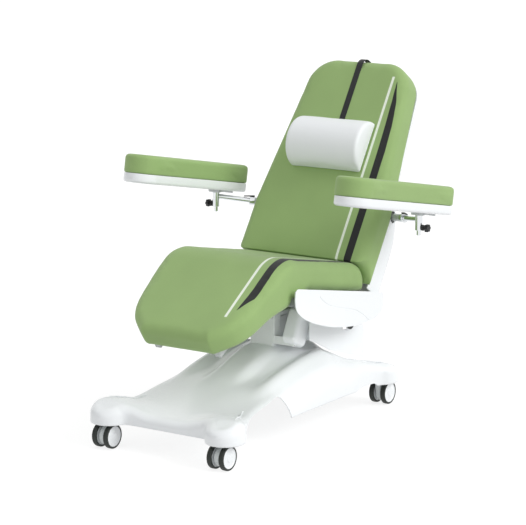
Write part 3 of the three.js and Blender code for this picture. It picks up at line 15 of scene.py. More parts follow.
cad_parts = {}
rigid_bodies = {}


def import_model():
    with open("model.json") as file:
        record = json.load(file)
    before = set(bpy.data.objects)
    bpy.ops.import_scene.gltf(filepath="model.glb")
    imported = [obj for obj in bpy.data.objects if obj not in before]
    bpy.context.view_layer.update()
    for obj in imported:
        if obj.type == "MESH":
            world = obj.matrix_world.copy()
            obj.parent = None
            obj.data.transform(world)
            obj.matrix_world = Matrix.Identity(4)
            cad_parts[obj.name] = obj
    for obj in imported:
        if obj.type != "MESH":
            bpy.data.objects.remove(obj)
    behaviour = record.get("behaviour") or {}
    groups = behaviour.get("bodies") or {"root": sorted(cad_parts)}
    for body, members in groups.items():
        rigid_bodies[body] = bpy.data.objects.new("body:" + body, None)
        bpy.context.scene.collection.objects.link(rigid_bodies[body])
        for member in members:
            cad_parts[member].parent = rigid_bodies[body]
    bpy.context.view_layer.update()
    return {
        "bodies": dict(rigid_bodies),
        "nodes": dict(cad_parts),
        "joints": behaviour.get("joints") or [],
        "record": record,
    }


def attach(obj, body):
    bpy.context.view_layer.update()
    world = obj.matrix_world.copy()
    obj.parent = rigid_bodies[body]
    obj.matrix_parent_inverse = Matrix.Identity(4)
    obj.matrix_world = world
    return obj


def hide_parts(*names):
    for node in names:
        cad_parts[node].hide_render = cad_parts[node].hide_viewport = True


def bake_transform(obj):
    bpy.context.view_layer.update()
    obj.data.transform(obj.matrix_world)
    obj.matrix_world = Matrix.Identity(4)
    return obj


log = logging.getLogger("dialysis_chair")

MM = 0.001
SHIFT_Y = -169.6014
TOUCH = 0.4
UP = Vector((0, 0, 1))
ACROSS = Vector((1, 0, 0))
Point = tuple[float, float]
Points = tuple[Point, ...]
Piece = bpy.types.Object
Placer = Callable[[float, float, float], Vector]


class Side(Enum):
    """The two sides of the chair, by the occupant's own left and right."""

    LEFT = 1
    RIGHT = -1

    @property
    def word(self) -> str:
        """The side's name as the part's nodes spell it."""
        return self.name.lower()


def world(x: float, y: float, z: float) -> Vector:
    """Turns millimetres in the chair's drawing into metres in the frame.

    Args:
        x: Distance towards the occupant's left.
        y: Distance towards the head end, before the part was centred.
        z: Height over the floor.

    Returns:
        The point in metres.
    """
    return Vector((x, y + SHIFT_Y, z)) * MM


def from_side(y: float, z: float, x: float) -> Vector:
    """A point in the frame, from its place in side view and its distance from the middle."""
    return world(x, y, z)


@dataclass(frozen=True)
class Line:
    """A straight surface in side view: where it starts, its own direction and its outward normal."""

    start: Point
    forward: Point
    up: Point

    def at(self, along: float, above: float) -> Point:
        """The (y, z) of a point so far along and so far above the line."""
        return (
            self.start[0] + self.forward[0] * along + self.up[0] * above,
            self.start[1] + self.forward[1] * along + self.up[1] * above,
        )

    def along(self, y: np.ndarray, z: np.ndarray) -> np.ndarray:
        """How far along the line each point lies."""
        return (y - self.start[0]) * self.forward[0] + (z - self.start[1]) * self.forward[1]


def seat_line() -> Line:
    """The seat's top, from its crotch with the back towards the knee."""
    slope = math.radians(11.0)
    return Line((361.0, 650.0), (-math.cos(slope), math.sin(slope)), (math.sin(slope), math.cos(slope)))


def back_line() -> Line:
    """The back's front, from the crotch upwards; above is towards the rear."""
    lean = math.radians(33.0)
    return Line((361.0, 650.0), (math.sin(lean), math.cos(lean)), (math.cos(lean), -math.sin(lean)))


SEAT = seat_line()
BACK = back_line()
SEAT_LENGTH = 457.0
KNEE_RADIUS = 165.0
KNEE = SEAT.at(SEAT_LENGTH, -KNEE_RADIUS)


def leg_line() -> Line:
    """The leg rest's direction, from the knee's axis."""
    slope = math.radians(33.4)
    return Line(KNEE, (-math.cos(slope), -math.sin(slope)), (-math.sin(slope), math.cos(slope)))


LEG = leg_line()


def arc(centre: Point, radius: float, start: float, end: float, steps: int) -> list[Point]:
    """Points of an arc.

    Args:
        centre: The arc's centre.
        radius: Its radius.
        start: First angle in degrees.
        end: Last angle in degrees.
        steps: How many chords it has.

    Returns:
        The points, first and last included.
    """
    angles = (math.radians(start + (end - start) * i / steps) for i in range(steps + 1))
    return [(centre[0] + radius * math.cos(a), centre[1] + radius * math.sin(a)) for a in angles]


def filleted(points: Sequence[Point], radii: Sequence[float], steps: int = 6) -> list[Point]:
    """Replaces the sharp corners of an outline by arcs that touch both sides.

    Args:
        points: The outline's corners.
        radii: One radius for each corner, 0 to leave it sharp.
        steps: Chords in each arc.

    Returns:
        The outline with its rounded corners.
    """
    result: list[Point] = []
    count = len(points)
    for i, corner in enumerate(points):
        if radii[i] <= 0:
            result.append(corner)
            continue
        here = Vector(corner)
        back = (Vector(points[i - 1]) - here).normalized()
        on = (Vector(points[(i + 1) % count]) - here).normalized()
        half = back.angle(on) / 2
        reach = radii[i] / math.tan(half)
        middle = here + (back + on).normalized() * (radii[i] / math.sin(half))
        first, last = here + back * reach - middle, here + on * reach - middle
        turn = math.atan2(first.x * last.y - first.y * last.x, first.dot(last))
        for k in range(steps + 1):
            step = Matrix.Rotation(turn * k / steps, 2) @ first + middle
            result.append((step.x, step.y))
    return result


def along_curve(points: Sequence[Point], steps: int) -> list[Point]:
    """A smooth curve through points, as a Catmull-Rom spline.

    Args:
        points: The points that the curve passes.
        steps: Chords between two neighbouring points.

    Returns:
        The curve's points.
    """
    result: list[Point] = []
    for i in range(len(points) - 1):
        before = points[max(i - 1, 0)]
        p, q = points[i], points[i + 1]
        after = points[min(i + 2, len(points) - 1)]
        for k in range(steps):
            t = k / steps
            blend = [
                0.5
                * (
                    2 * p[c]
                    + (q[c] - before[c]) * t
                    + (2 * before[c] - 5 * p[c] + 4 * q[c] - after[c]) * t * t
                    + (3 * p[c] - before[c] - 3 * q[c] + after[c]) * t**3
                )
                for c in (0, 1)
            ]
            result.append((blend[0], blend[1]))
    result.append(tuple(points[-1]))
    return result


def distance(points: np.ndarray, outline: Sequence[Point]) -> np.ndarray:
    """Signed distance of points to a closed outline, negative inside.

    Args:
        points: An array of (a, b) rows.
        outline: The outline's corners in order.

    Returns:
        One distance for each row.
    """
    corners = np.array(outline, float)
    best = np.full(len(points), np.inf)
    inside = np.zeros(len(points), bool)
    for start, end in zip(corners, np.roll(corners, -1, axis=0)):
        edge = end - start
        offset = points - start
        share = np.clip((offset @ edge) / max(edge @ edge, 1e-12), 0, 1)
        gap = offset - share[:, None] * edge
        best = np.minimum(best, (gap**2).sum(1))
        crosses = (start[1] > points[:, 1]) != (end[1] > points[:, 1])
        if abs(edge[1]) > 1e-12:
            meets = start[0] + (points[:, 1] - start[1]) * edge[0] / edge[1]
            inside ^= crosses & (points[:, 0] < meets)
    return np.where(inside, -1.0, 1.0) * np.sqrt(best)


class Bench:
    """The modelling steps that every piece shares."""

    @staticmethod
    def clear() -> None:
        """Leaves nothing selected."""
        if bpy.context.object and bpy.context.object.mode != "OBJECT":
            bpy.ops.object.mode_set(mode="OBJECT")
        bpy.ops.object.select_all(action="DESELECT")

    @staticmethod
    def pick(piece: Piece) -> None:
        """Makes one piece the active and only selected one."""
        Bench.clear()
        piece.select_set(True)
        bpy.context.view_layer.objects.active = piece

    @staticmethod
    def named(name: str) -> Piece:
        """Names the piece that an operator has just added."""
        piece = bpy.context.object
        piece.name = name
        piece.data.name = name
        return piece

    @staticmethod
    def settle(piece: Piece) -> Piece:
        """Puts the piece's place into its mesh and its object at the origin."""
        piece.data.transform(piece.matrix_basis)
        piece.matrix_basis = Matrix.Identity(4)
        return piece

    @staticmethod
    def modify(piece: Piece, kind: str, **settings: object) -> Piece:
        """Adds a modifier and applies it.

        Args:
            piece: The piece to finish.
            kind: The modifier's type, such as BEVEL.
            **settings: Values for the modifier.

        Returns:
            The same piece.
        """
        Bench.pick(piece)
        modifier = piece.modifiers.new(kind.title(), kind)
        for key, value in settings.items():
            setattr(modifier, key, value)
        bpy.ops.object.modifier_apply(modifier=modifier.name)
        return piece

    @staticmethod
    def smooth(piece: Piece, angle: float = 40.0) -> Piece:
        """Shades a piece smooth, with edges sharper than an angle in degrees kept."""
        Bench.pick(piece)
        bpy.ops.object.shade_smooth_by_angle(angle=math.radians(angle))
        return piece

    @staticmethod
    def tidy(piece: Piece, merge: float = 1e-5) -> Piece:
        """Merges doubles and turns every face outwards."""
        Bench.pick(piece)
        bpy.ops.object.mode_set(mode="EDIT")
        bpy.ops.mesh.select_all(action="SELECT")
        bpy.ops.mesh.remove_doubles(threshold=merge)
        bpy.ops.mesh.normals_make_consistent(inside=False)
        bpy.ops.object.mode_set(mode="OBJECT")
        return piece

    @staticmethod
    def prism(
        name: str, outline: Sequence[Point], place: Placer, low: float, high: float
    ) -> Piece:
        """A straight bar whose section is an outline.

        Args:
            name: The piece's name.
            outline: The section's corners.
            place: Turns (a, b, depth) into a point of the frame.
            low: Where the bar starts.
            high: Where it ends.

        Returns:
            The closed bar.
        """
        Bench.clear()
        bpy.ops.mesh.primitive_circle_add(vertices=len(outline), radius=1.0, fill_type="NGON")
        piece = Bench.named(name)
        for vertex, (a, b) in zip(piece.data.vertices, outline):
            vertex.co = place(a, b, low)
        a, b = outline[0]
        bpy.ops.object.mode_set(mode="EDIT")
        bpy.ops.mesh.select_all(action="SELECT")
        bpy.ops.mesh.extrude_region_move(
            TRANSFORM_OT_translate={"value": place(a, b, high) - place(a, b, low)}
        )
        bpy.ops.object.mode_set(mode="OBJECT")
        return Bench.tidy(Bench.settle(piece))

    @staticmethod
    def turned(
        name: str, profile: Sequence[Point], centre: Vector, axis: Vector, aside: Vector, steps: int
    ) -> Piece:
        """A turned piece: a closed profile of (radius, along) points spun about an axis.

        Args:
            name: The piece's name.
            profile: The closed profile in millimetres.
            centre: A point of the axis, where along is 0.
            axis: The axis' direction.
            aside: A direction square to the axis.
            steps: Faces round the axis.

        Returns:
            The turned piece.
        """
        Bench.clear()
        bpy.ops.mesh.primitive_circle_add(vertices=len(profile), radius=1.0, fill_type="NOTHING")
        piece = Bench.named(name)
        for vertex, (radius, along) in zip(piece.data.vertices, profile):
            vertex.co = centre + aside * (radius * MM) + axis * (along * MM)
        Bench.settle(piece)
        bpy.ops.object.mode_set(mode="EDIT")
        bpy.ops.mesh.select_all(action="SELECT")
        bpy.ops.mesh.spin(steps=steps, angle=2 * math.pi, center=centre, axis=axis)
        bpy.ops.object.mode_set(mode="OBJECT")
        return Bench.tidy(piece, 2e-6)

    @staticmethod
    def loft(name: str, rings: Sequence[Sequence[Vector]]) -> Piece:
        """A skin over closed rings, from a grid whose two long sides are merged.

        Args:
            name: The piece's name.
            rings: Rings with the same number of points.

        Returns:
            The skin, open at its first and last ring.
        """
        Bench.clear()
        columns, rows = len(rings[0]), len(rings) - 1
        bpy.ops.mesh.primitive_grid_add(x_subdivisions=columns, y_subdivisions=rows, size=1.0)
        piece = Bench.settle(Bench.named(name))
        for vertex in piece.data.vertices:
            column = round((vertex.co.x + 0.5) * columns) % columns
            row = round((vertex.co.y + 0.5) * rows)
            vertex.co = rings[row][column]
        return Bench.tidy(piece, 2e-6)

    @staticmethod
    def capped(piece: Piece) -> Piece:
        """Closes every open ring of a piece."""
        Bench.pick(piece)
        bpy.ops.object.mode_set(mode="EDIT")
        bpy.ops.mesh.select_all(action="SELECT")
        bpy.ops.mesh.fill_holes(sides=0)
        bpy.ops.mesh.normals_make_consistent(inside=False)
        bpy.ops.object.mode_set(mode="OBJECT")
        return piece

    @staticmethod
    def slab(
        name: str, outline: Callable[[float], Sequence[Point]], place: Placer, levels: Sequence[Point]
    ) -> Piece:
        """A plate with shaped edges, from an outline that can be drawn in.

        Args:
            name: The piece's name.
            outline: Gives the outline drawn in by a distance.
            place: Turns (a, b, depth) into a point of the frame.
            levels: Rows of depth and inset, from one face to the other.

        Returns:
            The closed plate.
        """
        rings = [[place(a, b, depth) for a, b in outline(inset)] for depth, inset in levels]
        return Bench.capped(Bench.loft(name, rings))

    @staticmethod
    def pipe(name: str, route: Sequence[Vector], radius: float, sides: int = 8) -> Piece:
        """A round tube along a route.

        Args:
            name: The piece's name.
            route: Points in the frame.
            radius: The tube's radius in millimetres.
            sides: Half the resolution round the tube.

        Returns:
            The tube as a mesh with closed ends.
        """
        Bench.clear()
        bpy.ops.curve.primitive_nurbs_path_add()
        piece = Bench.named(name)
        curve = piece.data
        curve.splines.clear()
        spline = curve.splines.new("POLY")
        spline.points.add(len(route) - 1)
        for point, place in zip(spline.points, route):
            point.co = (*place, 1.0)
        curve.bevel_depth = radius * MM
        curve.bevel_resolution = sides
        curve.use_fill_caps = True
        bpy.ops.object.convert(target="MESH")
        piece = bpy.context.object
        return Bench.tidy(Bench.settle(piece))

    @staticmethod
    def keep_side(piece: Piece, point: Vector, keep: Vector) -> Piece:
        """Cuts a piece along a plane and leaves the cut open.

        Args:
            piece: The piece to cut.
            point: A point of the plane.
            keep: The side of the plane that stays.

        Returns:
            The same piece.
        """
        Bench.pick(piece)
        bpy.ops.object.mode_set(mode="EDIT")
        bpy.ops.mesh.select_all(action="SELECT")
        bpy.ops.mesh.bisect(plane_co=point, plane_no=keep, clear_inner=True, clear_outer=False, use_fill=False)
        bpy.ops.object.mode_set(mode="OBJECT")
        return piece

    @staticmethod
    def join(pieces: Sequence[Piece], name: str) -> Piece:
        """Makes several meshes one piece."""
        Bench.clear()
        for piece in pieces:
            piece.select_set(True)
        bpy.context.view_layer.objects.active = pieces[0]
        bpy.ops.object.join()
        return Bench.named(name)

    @staticmethod
    def boolean(piece: Piece, tool: Piece, operation: str) -> Piece:
        """Joins, cuts or crosses a piece with a tool, which is used up.

        Args:
            piece: The piece that stays.
            tool: The other solid.
            operation: UNION, DIFFERENCE or INTERSECT.

        Returns:
            The changed piece.
        """
        Bench.modify(piece, "BOOLEAN", object=tool, operation=operation, solver="EXACT")
        bpy.data.objects.remove(tool)
        return piece


class Nodes:
    """Short ways to write a material's node tree."""

    def __init__(self, tree: bpy.types.NodeTree) -> None:
        """Keeps the tree to write to."""
        self.tree = tree

    def add(self, kind: str, **settings: object) -> bpy.types.Node:
        """Adds a node.

        Args:
            kind: The node's type name without the ShaderNode in front.
            **settings: Node properties; one that starts with in_ sets the default of an input by number or name.

        Returns:
            The new node.
        """
        node = self.tree.nodes.new("ShaderNode" + kind)
        for key, value in settings.items():
            setattr(node, key, value)
        return node

    def link(self, source: bpy.types.NodeSocket, target: bpy.types.NodeSocket) -> None:
        """Joins two sockets."""
        self.tree.links.new(source, target)

    def math(self, operation: str, first: object, second: object = 0.0, third: object = 0.0) -> object:
        """Adds a Math node and gives its output.

        Args:
            operation: The node's operation.
            first: A number or a socket.
            second: A number or a socket.
            third: A number or a socket.

        Returns:
            The node's output socket.
        """
        node = self.add("Math", operation=operation)
        for socket, value in zip(node.inputs, (first, second, third)):
            if isinstance(value, (int, float)):
                socket.default_value = value
            else:
                self.link(value, socket)
        return node.outputs[0]

    def mix(self, share: object, first: object, second: object) -> object:
        """Mixes two colours and gives the output.

        Args:
            share: A number or a socket.
            first: An rgba tuple or a socket.
            second: An rgba tuple or a socket.

        Returns:
            The mixed colour's socket.
        """
        node = self.add("Mix", data_type="RGBA")
        for socket, value in zip((node.inputs[0], node.inputs[6], node.inputs[7]), (share, first, second)):
            if isinstance(value, (int, float, tuple)):
                socket.default_value = value
            else:
                self.link(value, socket)
        return node.outputs[2]


def grain_group() -> bpy.types.NodeTree:
    """The shared surface grain: a fine random height and a slow change of tone.

    Returns:
        A node group with Scale and Spread inputs, and Height and Tone outputs.
    """
    group = bpy.data.node_groups.get("surface_grain")
    if group:
        return group
    group = bpy.data.node_groups.new("surface_grain", "ShaderNodeTree")
    group.interface.new_socket("Place", in_out="INPUT", socket_type="NodeSocketVector")
    group.interface.new_socket("Scale", in_out="INPUT", socket_type="NodeSocketFloat")
    group.interface.new_socket("Spread", in_out="INPUT", socket_type="NodeSocketFloat")
    group.interface.new_socket("Height", in_out="OUTPUT", socket_type="NodeSocketFloat")
    group.interface.new_socket("Tone", in_out="OUTPUT", socket_type="NodeSocketFloat")
    nodes = Nodes(group)
    entry = group.nodes.new("NodeGroupInput")
    leave = group.nodes.new("NodeGroupOutput")
    fine = nodes.add("TexNoise")
    fine.inputs["Detail"].default_value = 4.0
    slow = nodes.add("TexNoise")
    slow.inputs["Scale"].default_value = 5.0
    slow.inputs["Detail"].default_value = 2.0
    nodes.link(entry.outputs["Place"], fine.inputs["Vector"])
    nodes.link(entry.outputs["Scale"], fine.inputs["Scale"])
    nodes.link(entry.outputs["Place"], slow.inputs["Vector"])
    centred = nodes.math("SUBTRACT", slow.outputs[0], 0.5)
    nodes.link(nodes.math("MULTIPLY", centred, entry.outputs["Spread"]), leave.inputs["Tone"])
    nodes.link(fine.outputs[0], leave.inputs["Height"])
    return group


def weave_group() -> bpy.types.NodeTree:
    """The shared cloth weave: threads that cross over and under on a flat pattern space.

    Returns:
        A node group with Place and Pitch inputs, and Height and Shade outputs.
    """
    group = bpy.data.node_groups.get("cloth_weave")
    if group:
        return group
    group = bpy.data.node_groups.new("cloth_weave", "ShaderNodeTree")
    group.interface.new_socket("Place", in_out="INPUT", socket_type="NodeSocketVector")
    group.interface.new_socket("Pitch", in_out="INPUT", socket_type="NodeSocketFloat")
    group.interface.new_socket("Height", in_out="OUTPUT", socket_type="NodeSocketFloat")
    group.interface.new_socket("Shade", in_out="OUTPUT", socket_type="NodeSocketFloat")
    nodes = Nodes(group)
    entry = group.nodes.new("NodeGroupInput")
    leave = group.nodes.new("NodeGroupOutput")
    split = nodes.add("SeparateXYZ")
    nodes.link(entry.outputs["Place"], split.inputs[0])
    wander = nodes.add("TexNoise")
    wander.inputs["Scale"].default_value = 90.0
    nodes.link(entry.outputs["Place"], wander.inputs["Vector"])
    drift = nodes.math("MULTIPLY", wander.outputs[0], 2.2)
    turns = []
    for socket in (split.outputs[0], split.outputs[1]):
        phase = nodes.math("MULTIPLY", nodes.math("DIVIDE", socket, entry.outputs["Pitch"]), math.pi)
        turns.append(nodes.math("ADD", phase, drift))
    across = nodes.math("SINE", turns[0])
    along = nodes.math("SINE", turns[1])
    crossing = nodes.math("MULTIPLY", across, along)
    height = nodes.math("MULTIPLY_ADD", crossing, 0.5, 0.5)
    speck = nodes.add("TexNoise")
    speck.inputs["Scale"].default_value = 260.0
    speck.inputs["Detail"].default_value = 3.0
    nodes.link(entry.outputs["Place"], speck.inputs["Vector"])
    shade = nodes.math("MULTIPLY_ADD", height, 0.45, nodes.math("MULTIPLY", speck.outputs[0], 0.55))
    nodes.link(height, leave.inputs["Height"])
    nodes.link(shade, leave.inputs["Shade"])
    return group


def placed(group: bpy.types.NodeTree, nodes: Nodes, **values: object) -> bpy.types.Node:
    """Puts a shared group into a material.

    Args:
        group: The node group.
        nodes: The material's nodes.
        **values: A number or a socket for each input.

    Returns:
        The group's node.
    """
    node = nodes.tree.nodes.new("ShaderNodeGroup")
    node.node_tree = group
    for name, value in values.items():
        if isinstance(value, (int, float)):
            node.inputs[name].default_value = value
        else:
            nodes.link(value, node.inputs[name])
    return node


def linear(red: int, green: int, blue: int) -> tuple[float, float, float, float]:
    """A colour as a screen shows it, from 0 to 255, in the values that shading uses."""
    def channel(value: int) -> float:
        """One channel of the colour."""
        share = value / 255
        return share / 12.92 if share <= 0.04045 else ((share + 0.055) / 1.055) ** 2.4

    return (channel(red), channel(green), channel(blue), 1.0)


@dataclass(frozen=True)
class Finish:
    """A hard finish: paint, moulded plastic, metal or rubber."""

    name: str
    colour: tuple[float, float, float, float]
    roughness: float
    metallic: float = 0.0
    coat: float = 0.0
    grain: float = 900.0
    depth: float = 0.05
    spread: float = 0.12
    mottle: float = 0.08

    def material(self) -> bpy.types.Material:
        """The finish as a node material, made once."""
        found = bpy.data.materials.get(self.name)
        if found:
            return found
        made = bpy.data.materials.new(self.name)
        made.use_nodes = True
        nodes = Nodes(made.node_tree)
        shader = made.node_tree.nodes["Principled BSDF"]
        place = nodes.add("TexCoord").outputs["Object"]
        grain = placed(grain_group(), nodes, Place=place, Scale=self.grain, Spread=self.mottle)
        tone = nodes.math("ADD", grain.outputs["Tone"], 0.5)
        dark = tuple(v * (1 - self.mottle) for v in self.colour[:3]) + (1.0,)
        light = tuple(min(v * (1 + self.mottle), 1.0) for v in self.colour[:3]) + (1.0,)
        nodes.link(nodes.mix(tone, dark, light), shader.inputs["Base Color"])
        rough = nodes.math("MULTIPLY_ADD", grain.outputs["Height"], self.spread, self.roughness - self.spread / 2)
        nodes.link(rough, shader.inputs["Roughness"])
        shader.inputs["Metallic"].default_value = self.metallic
        shader.inputs["Coat Weight"].default_value = self.coat
        shader.inputs["Coat Roughness"].default_value = 0.08
        bump = nodes.add("Bump")
        bump.inputs["Strength"].default_value = self.depth
        bump.inputs["Distance"].default_value = 0.0004
        nodes.link(grain.outputs["Height"], bump.inputs["Height"])
        nodes.link(bump.outputs[0], shader.inputs["Normal"])
        return made


@dataclass(frozen=True)
class Cloth:
    """A woven or coated cover, with two sewn stripes where it has them."""

    name: str
    colour: tuple[float, float, float, float]
    pitch: float = 2.6
    depth: float = 0.35
    contrast: float = 0.16
    roughness: float = 0.72
    sheen: float = 0.15
    stripes: tuple["Stripe", ...] = ()

    def material(self) -> bpy.types.Material:
        """The cover as a node material, made once."""
        found = bpy.data.materials.get(self.name)
        if found:
            return found
        made = bpy.data.materials.new(self.name)
        made.use_nodes = True
        nodes = Nodes(made.node_tree)
        shader = made.node_tree.nodes["Principled BSDF"]
        place = nodes.add("UVMap", uv_map="weave").outputs[0]
        weave = placed(weave_group(), nodes, Place=place, Pitch=self.pitch * MM)
        grain = placed(grain_group(), nodes, Place=place, Scale=60.0, Spread=0.6)
        shade = nodes.math("ADD", weave.outputs["Shade"], grain.outputs["Tone"])
        dark = tuple(v * (1 - self.contrast) for v in self.colour[:3]) + (1.0,)
        light = tuple(min(v * (1 + self.contrast), 1.0) for v in self.colour[:3]) + (1.0,)
        colour = nodes.mix(shade, dark, light)
        height = weave.outputs["Height"]
        for stripe in self.stripes:
            mask = stripe.mask(nodes)
            lift = nodes.math("MULTIPLY_ADD", shade, 0.3, 0.85)
            tone = nodes.add("VectorMath", operation="SCALE")
            tone.inputs[0].default_value = stripe.colour[:3]
            nodes.link(lift, tone.inputs["Scale"])
            colour = nodes.mix(mask, colour, tone.outputs[0])
            height = nodes.math("MULTIPLY_ADD", mask, 0.8, height)
        nodes.link(colour, shader.inputs["Base Color"])
        rough = nodes.math("MULTIPLY_ADD", weave.outputs["Shade"], 0.12, self.roughness - 0.06)
        nodes.link(rough, shader.inputs["Roughness"])
        shader.inputs["Sheen Weight"].default_value = self.sheen
        shader.inputs["Sheen Roughness"].default_value = 0.5
        bump = nodes.add("Bump")
        bump.inputs["Strength"].default_value = self.depth
        bump.inputs["Distance"].default_value = 0.0006
        nodes.link(height, bump.inputs["Height"])
        nodes.link(bump.outputs[0], shader.inputs["Normal"])
        return made


@dataclass(frozen=True)
class Stripe:
    """A stripe sewn into a cover: its inner and outer edges along the cover's length, in metres."""

    colour: tuple[float, float, float, float]
    stations: tuple[tuple[float, float, float], ...]
    uv_map: str = "lay"
    soft: float = 0.0006

    def mask(self, nodes: Nodes) -> bpy.types.NodeSocket:
        """Adds the nodes that are 1 on the stripe and 0 off it.

        Args:
            nodes: The material's nodes.

        Returns:
            The mask's socket.
        """
        lay = nodes.add("UVMap", uv_map=self.uv_map)
        split = nodes.add("SeparateXYZ")
        nodes.link(lay.outputs[0], split.inputs[0])
        across, along = split.outputs[0], split.outputs[1]
        first, last = self.stations[0][0], self.stations[-1][0]
        share = nodes.math("DIVIDE", nodes.math("SUBTRACT", along, first), last - first)
        inner = self.edge(nodes, share, 1, first, last)
        outer = self.edge(nodes, share, 2, first, last)
        past_inner = self.step(nodes, nodes.math("SUBTRACT", across, inner))
        before_outer = self.step(nodes, nodes.math("SUBTRACT", outer, across))
        begun = self.step(nodes, nodes.math("SUBTRACT", along, first))
        before_end = self.step(nodes, nodes.math("SUBTRACT", last, along))
        wide = nodes.math("MULTIPLY", past_inner, before_outer)
        return nodes.math("MULTIPLY", wide, nodes.math("MULTIPLY", begun, before_end))

    def edge(self, nodes: Nodes, share: object, column: int, first: float, last: float) -> object:
        """The place of one edge at each share of the stripe's length."""
        curve = nodes.add("FloatCurve")
        nodes.link(share, curve.inputs["Value"])
        line = curve.mapping.curves[0]
        places = [((row[0] - first) / (last - first), row[column]) for row in self.stations]
        while len(line.points) < len(places):
            line.points.new(0.5, 0.5)
        for point, (x, y) in zip(line.points, places):
            point.location = (x, y)
            point.handle_type = "VECTOR"
        curve.mapping.update()
        return curve.outputs[0]

    def step(self, nodes: Nodes, value: object) -> object:
        """A narrow ramp from 0 to 1 as a value passes 0."""
        ramp = nodes.math("MULTIPLY_ADD", value, 0.5 / self.soft, 0.5)
        clamp = nodes.add("Clamp")
        nodes.link(ramp, clamp.inputs[0])
        return clamp.outputs[0]


GREEN = linear(146, 175, 110)
WHITE_STRIPE = linear(236, 244, 228)
BLACK_STRIPE = linear(9, 12, 11)


def stripe_pair(start: float, white_end: float, rows: Sequence[tuple[float, float, float]]) -> tuple[Stripe, ...]:
    """The narrow white stripe and the wide black one beside it.

    Args:
        start: Where both begin along the cover, in millimetres.
        white_end: Where the white one ends.
        rows: Along, inner edge and outer edge of the black one.

    Returns:
        Both stripes in metres.
    """
    white = Stripe(WHITE_STRIPE, ((start * MM, 0.181, 0.193), (white_end * MM, 0.180, 0.192)))
    black = Stripe(BLACK_STRIPE, tuple((a * MM, b * MM, c * MM) for a, b, c in rows))
    return (white, black)


@dataclass
class SoftForm:
    """The crossing of a side outline and a plan outline with rounded edges, stuffed where it swells."""

    name: str
    side: Sequence[Point]
    plan: Sequence[Point]
    to_side: Callable[[np.ndarray], np.ndarray]
    to_plan: Callable[[np.ndarray], np.ndarray]
    side_place: Placer
    plan_place: Placer
    half_width: float
    plan_low: float
    plan_high: float
    rounding: Callable[[np.ndarray], np.ndarray]
    voxel: float = 9.0
    swell: float = 6.0
    shrink: float = 2.0
    levels: int = 1

    def blank(self) -> Piece:
        """The sharp-edged solid that the cushion starts from."""
        body = Bench.prism(self.name, self.side, self.side_place, -self.half_width, self.half_width)
        tool = Bench.prism(self.name + "_plan", self.plan, self.plan_place, self.plan_low, self.plan_high)
        Bench.boolean(body, tool, "INTERSECT")
        body.data.remesh_voxel_size = self.voxel * MM
        Bench.pick(body)
        bpy.ops.object.voxel_remesh()
        return body

    def depth(self, points: np.ndarray, inset: float) -> np.ndarray:
        """How far points lie outside the rounded form, negative inside.

        Args:
            points: Points of the frame in millimetres.
            inset: How much smaller than the outlines the form is.

        Returns:
            One distance for each point.
        """
        radius = self.rounding(points)
        first = distance(self.to_side(points), self.side) + inset + radius
        second = distance(self.to_plan(points), self.plan) + inset + radius
        outside = np.hypot(np.maximum(first, 0), np.maximum(second, 0))
        return outside + np.minimum(np.maximum(first, second), 0) - radius

    def draw_onto(self, piece: Piece, inset: float, rounds: int) -> None:
        """Moves each vertex onto the rounded form along the form's own slope.

        Args:
            piece: The cushion's mesh.
            inset: How much smaller than the outlines the form is.
            rounds: How often the step is repeated.
        """
        co = np.empty(len(piece.data.vertices) * 3)
        piece.data.vertices.foreach_get("co", co)
        points = co.reshape(-1, 3) / MM
        nudge = 0.5
        for _ in range(rounds):
            here = self.depth(points, inset)
            slope = np.stack(
                [(self.depth(points + nudge * axis, inset) - here) / nudge for axis in np.eye(3)], axis=1
            )
            size = np.maximum((slope**2).sum(1), 0.2)
            points = points - slope * (here / size)[:, None]
        piece.data.vertices.foreach_set("co", (points * MM).ravel())
        piece.data.update()

    def fill(self, piece: Piece) -> None:
        """Blows the cover up with cloth pressure, and caps how far each point moves.

        Args:
            piece: The cushion's mesh.
        """
        before = np.empty(len(piece.data.vertices) * 3)
        piece.data.vertices.foreach_get("co", before)
        Bench.pick(piece)
        cloth = piece.modifiers.new("Cloth", "CLOTH")
        cloth.settings.use_pressure = True
        cloth.settings.uniform_pressure_force = 4.0
        cloth.settings.effector_weights.gravity = 0.0
        cloth.settings.tension_stiffness = 30.0
        cloth.settings.compression_stiffness = 30.0
        cloth.settings.bending_stiffness = 2.0
        cloth.settings.quality = 4
        cloth.point_cache.frame_end = 20
        scene = bpy.context.scene
        for frame in range(1, 21):
            scene.frame_set(frame)
        bpy.ops.object.modifier_apply(modifier=cloth.name)
        scene.frame_set(1)
        after = np.empty_like(before)
        piece.data.vertices.foreach_get("co", after)
        move = (after - before).reshape(-1, 3)
        length = np.linalg.norm(move, axis=1)
        limit = self.swell * MM
        keep = limit * np.tanh(length / limit) / np.maximum(length, 1e-9)
        piece.data.vertices.foreach_set("co", (before.reshape(-1, 3) + move * keep[:, None]).ravel())
        piece.data.update()

    def build(self) -> Piece:
        """Makes the cushion: blank, rounded form, filling, and one subdivision."""
        piece = self.blank()
        self.draw_onto(piece, self.shrink, 4)
        if self.swell:
            self.fill(piece)
            Bench.modify(piece, "SMOOTH", factor=0.5, iterations=3)
        if self.levels:
            Bench.modify(piece, "SUBSURF", levels=self.levels, render_levels=self.levels)
        Bench.pick(piece)
        bpy.ops.object.shade_smooth()
        return piece


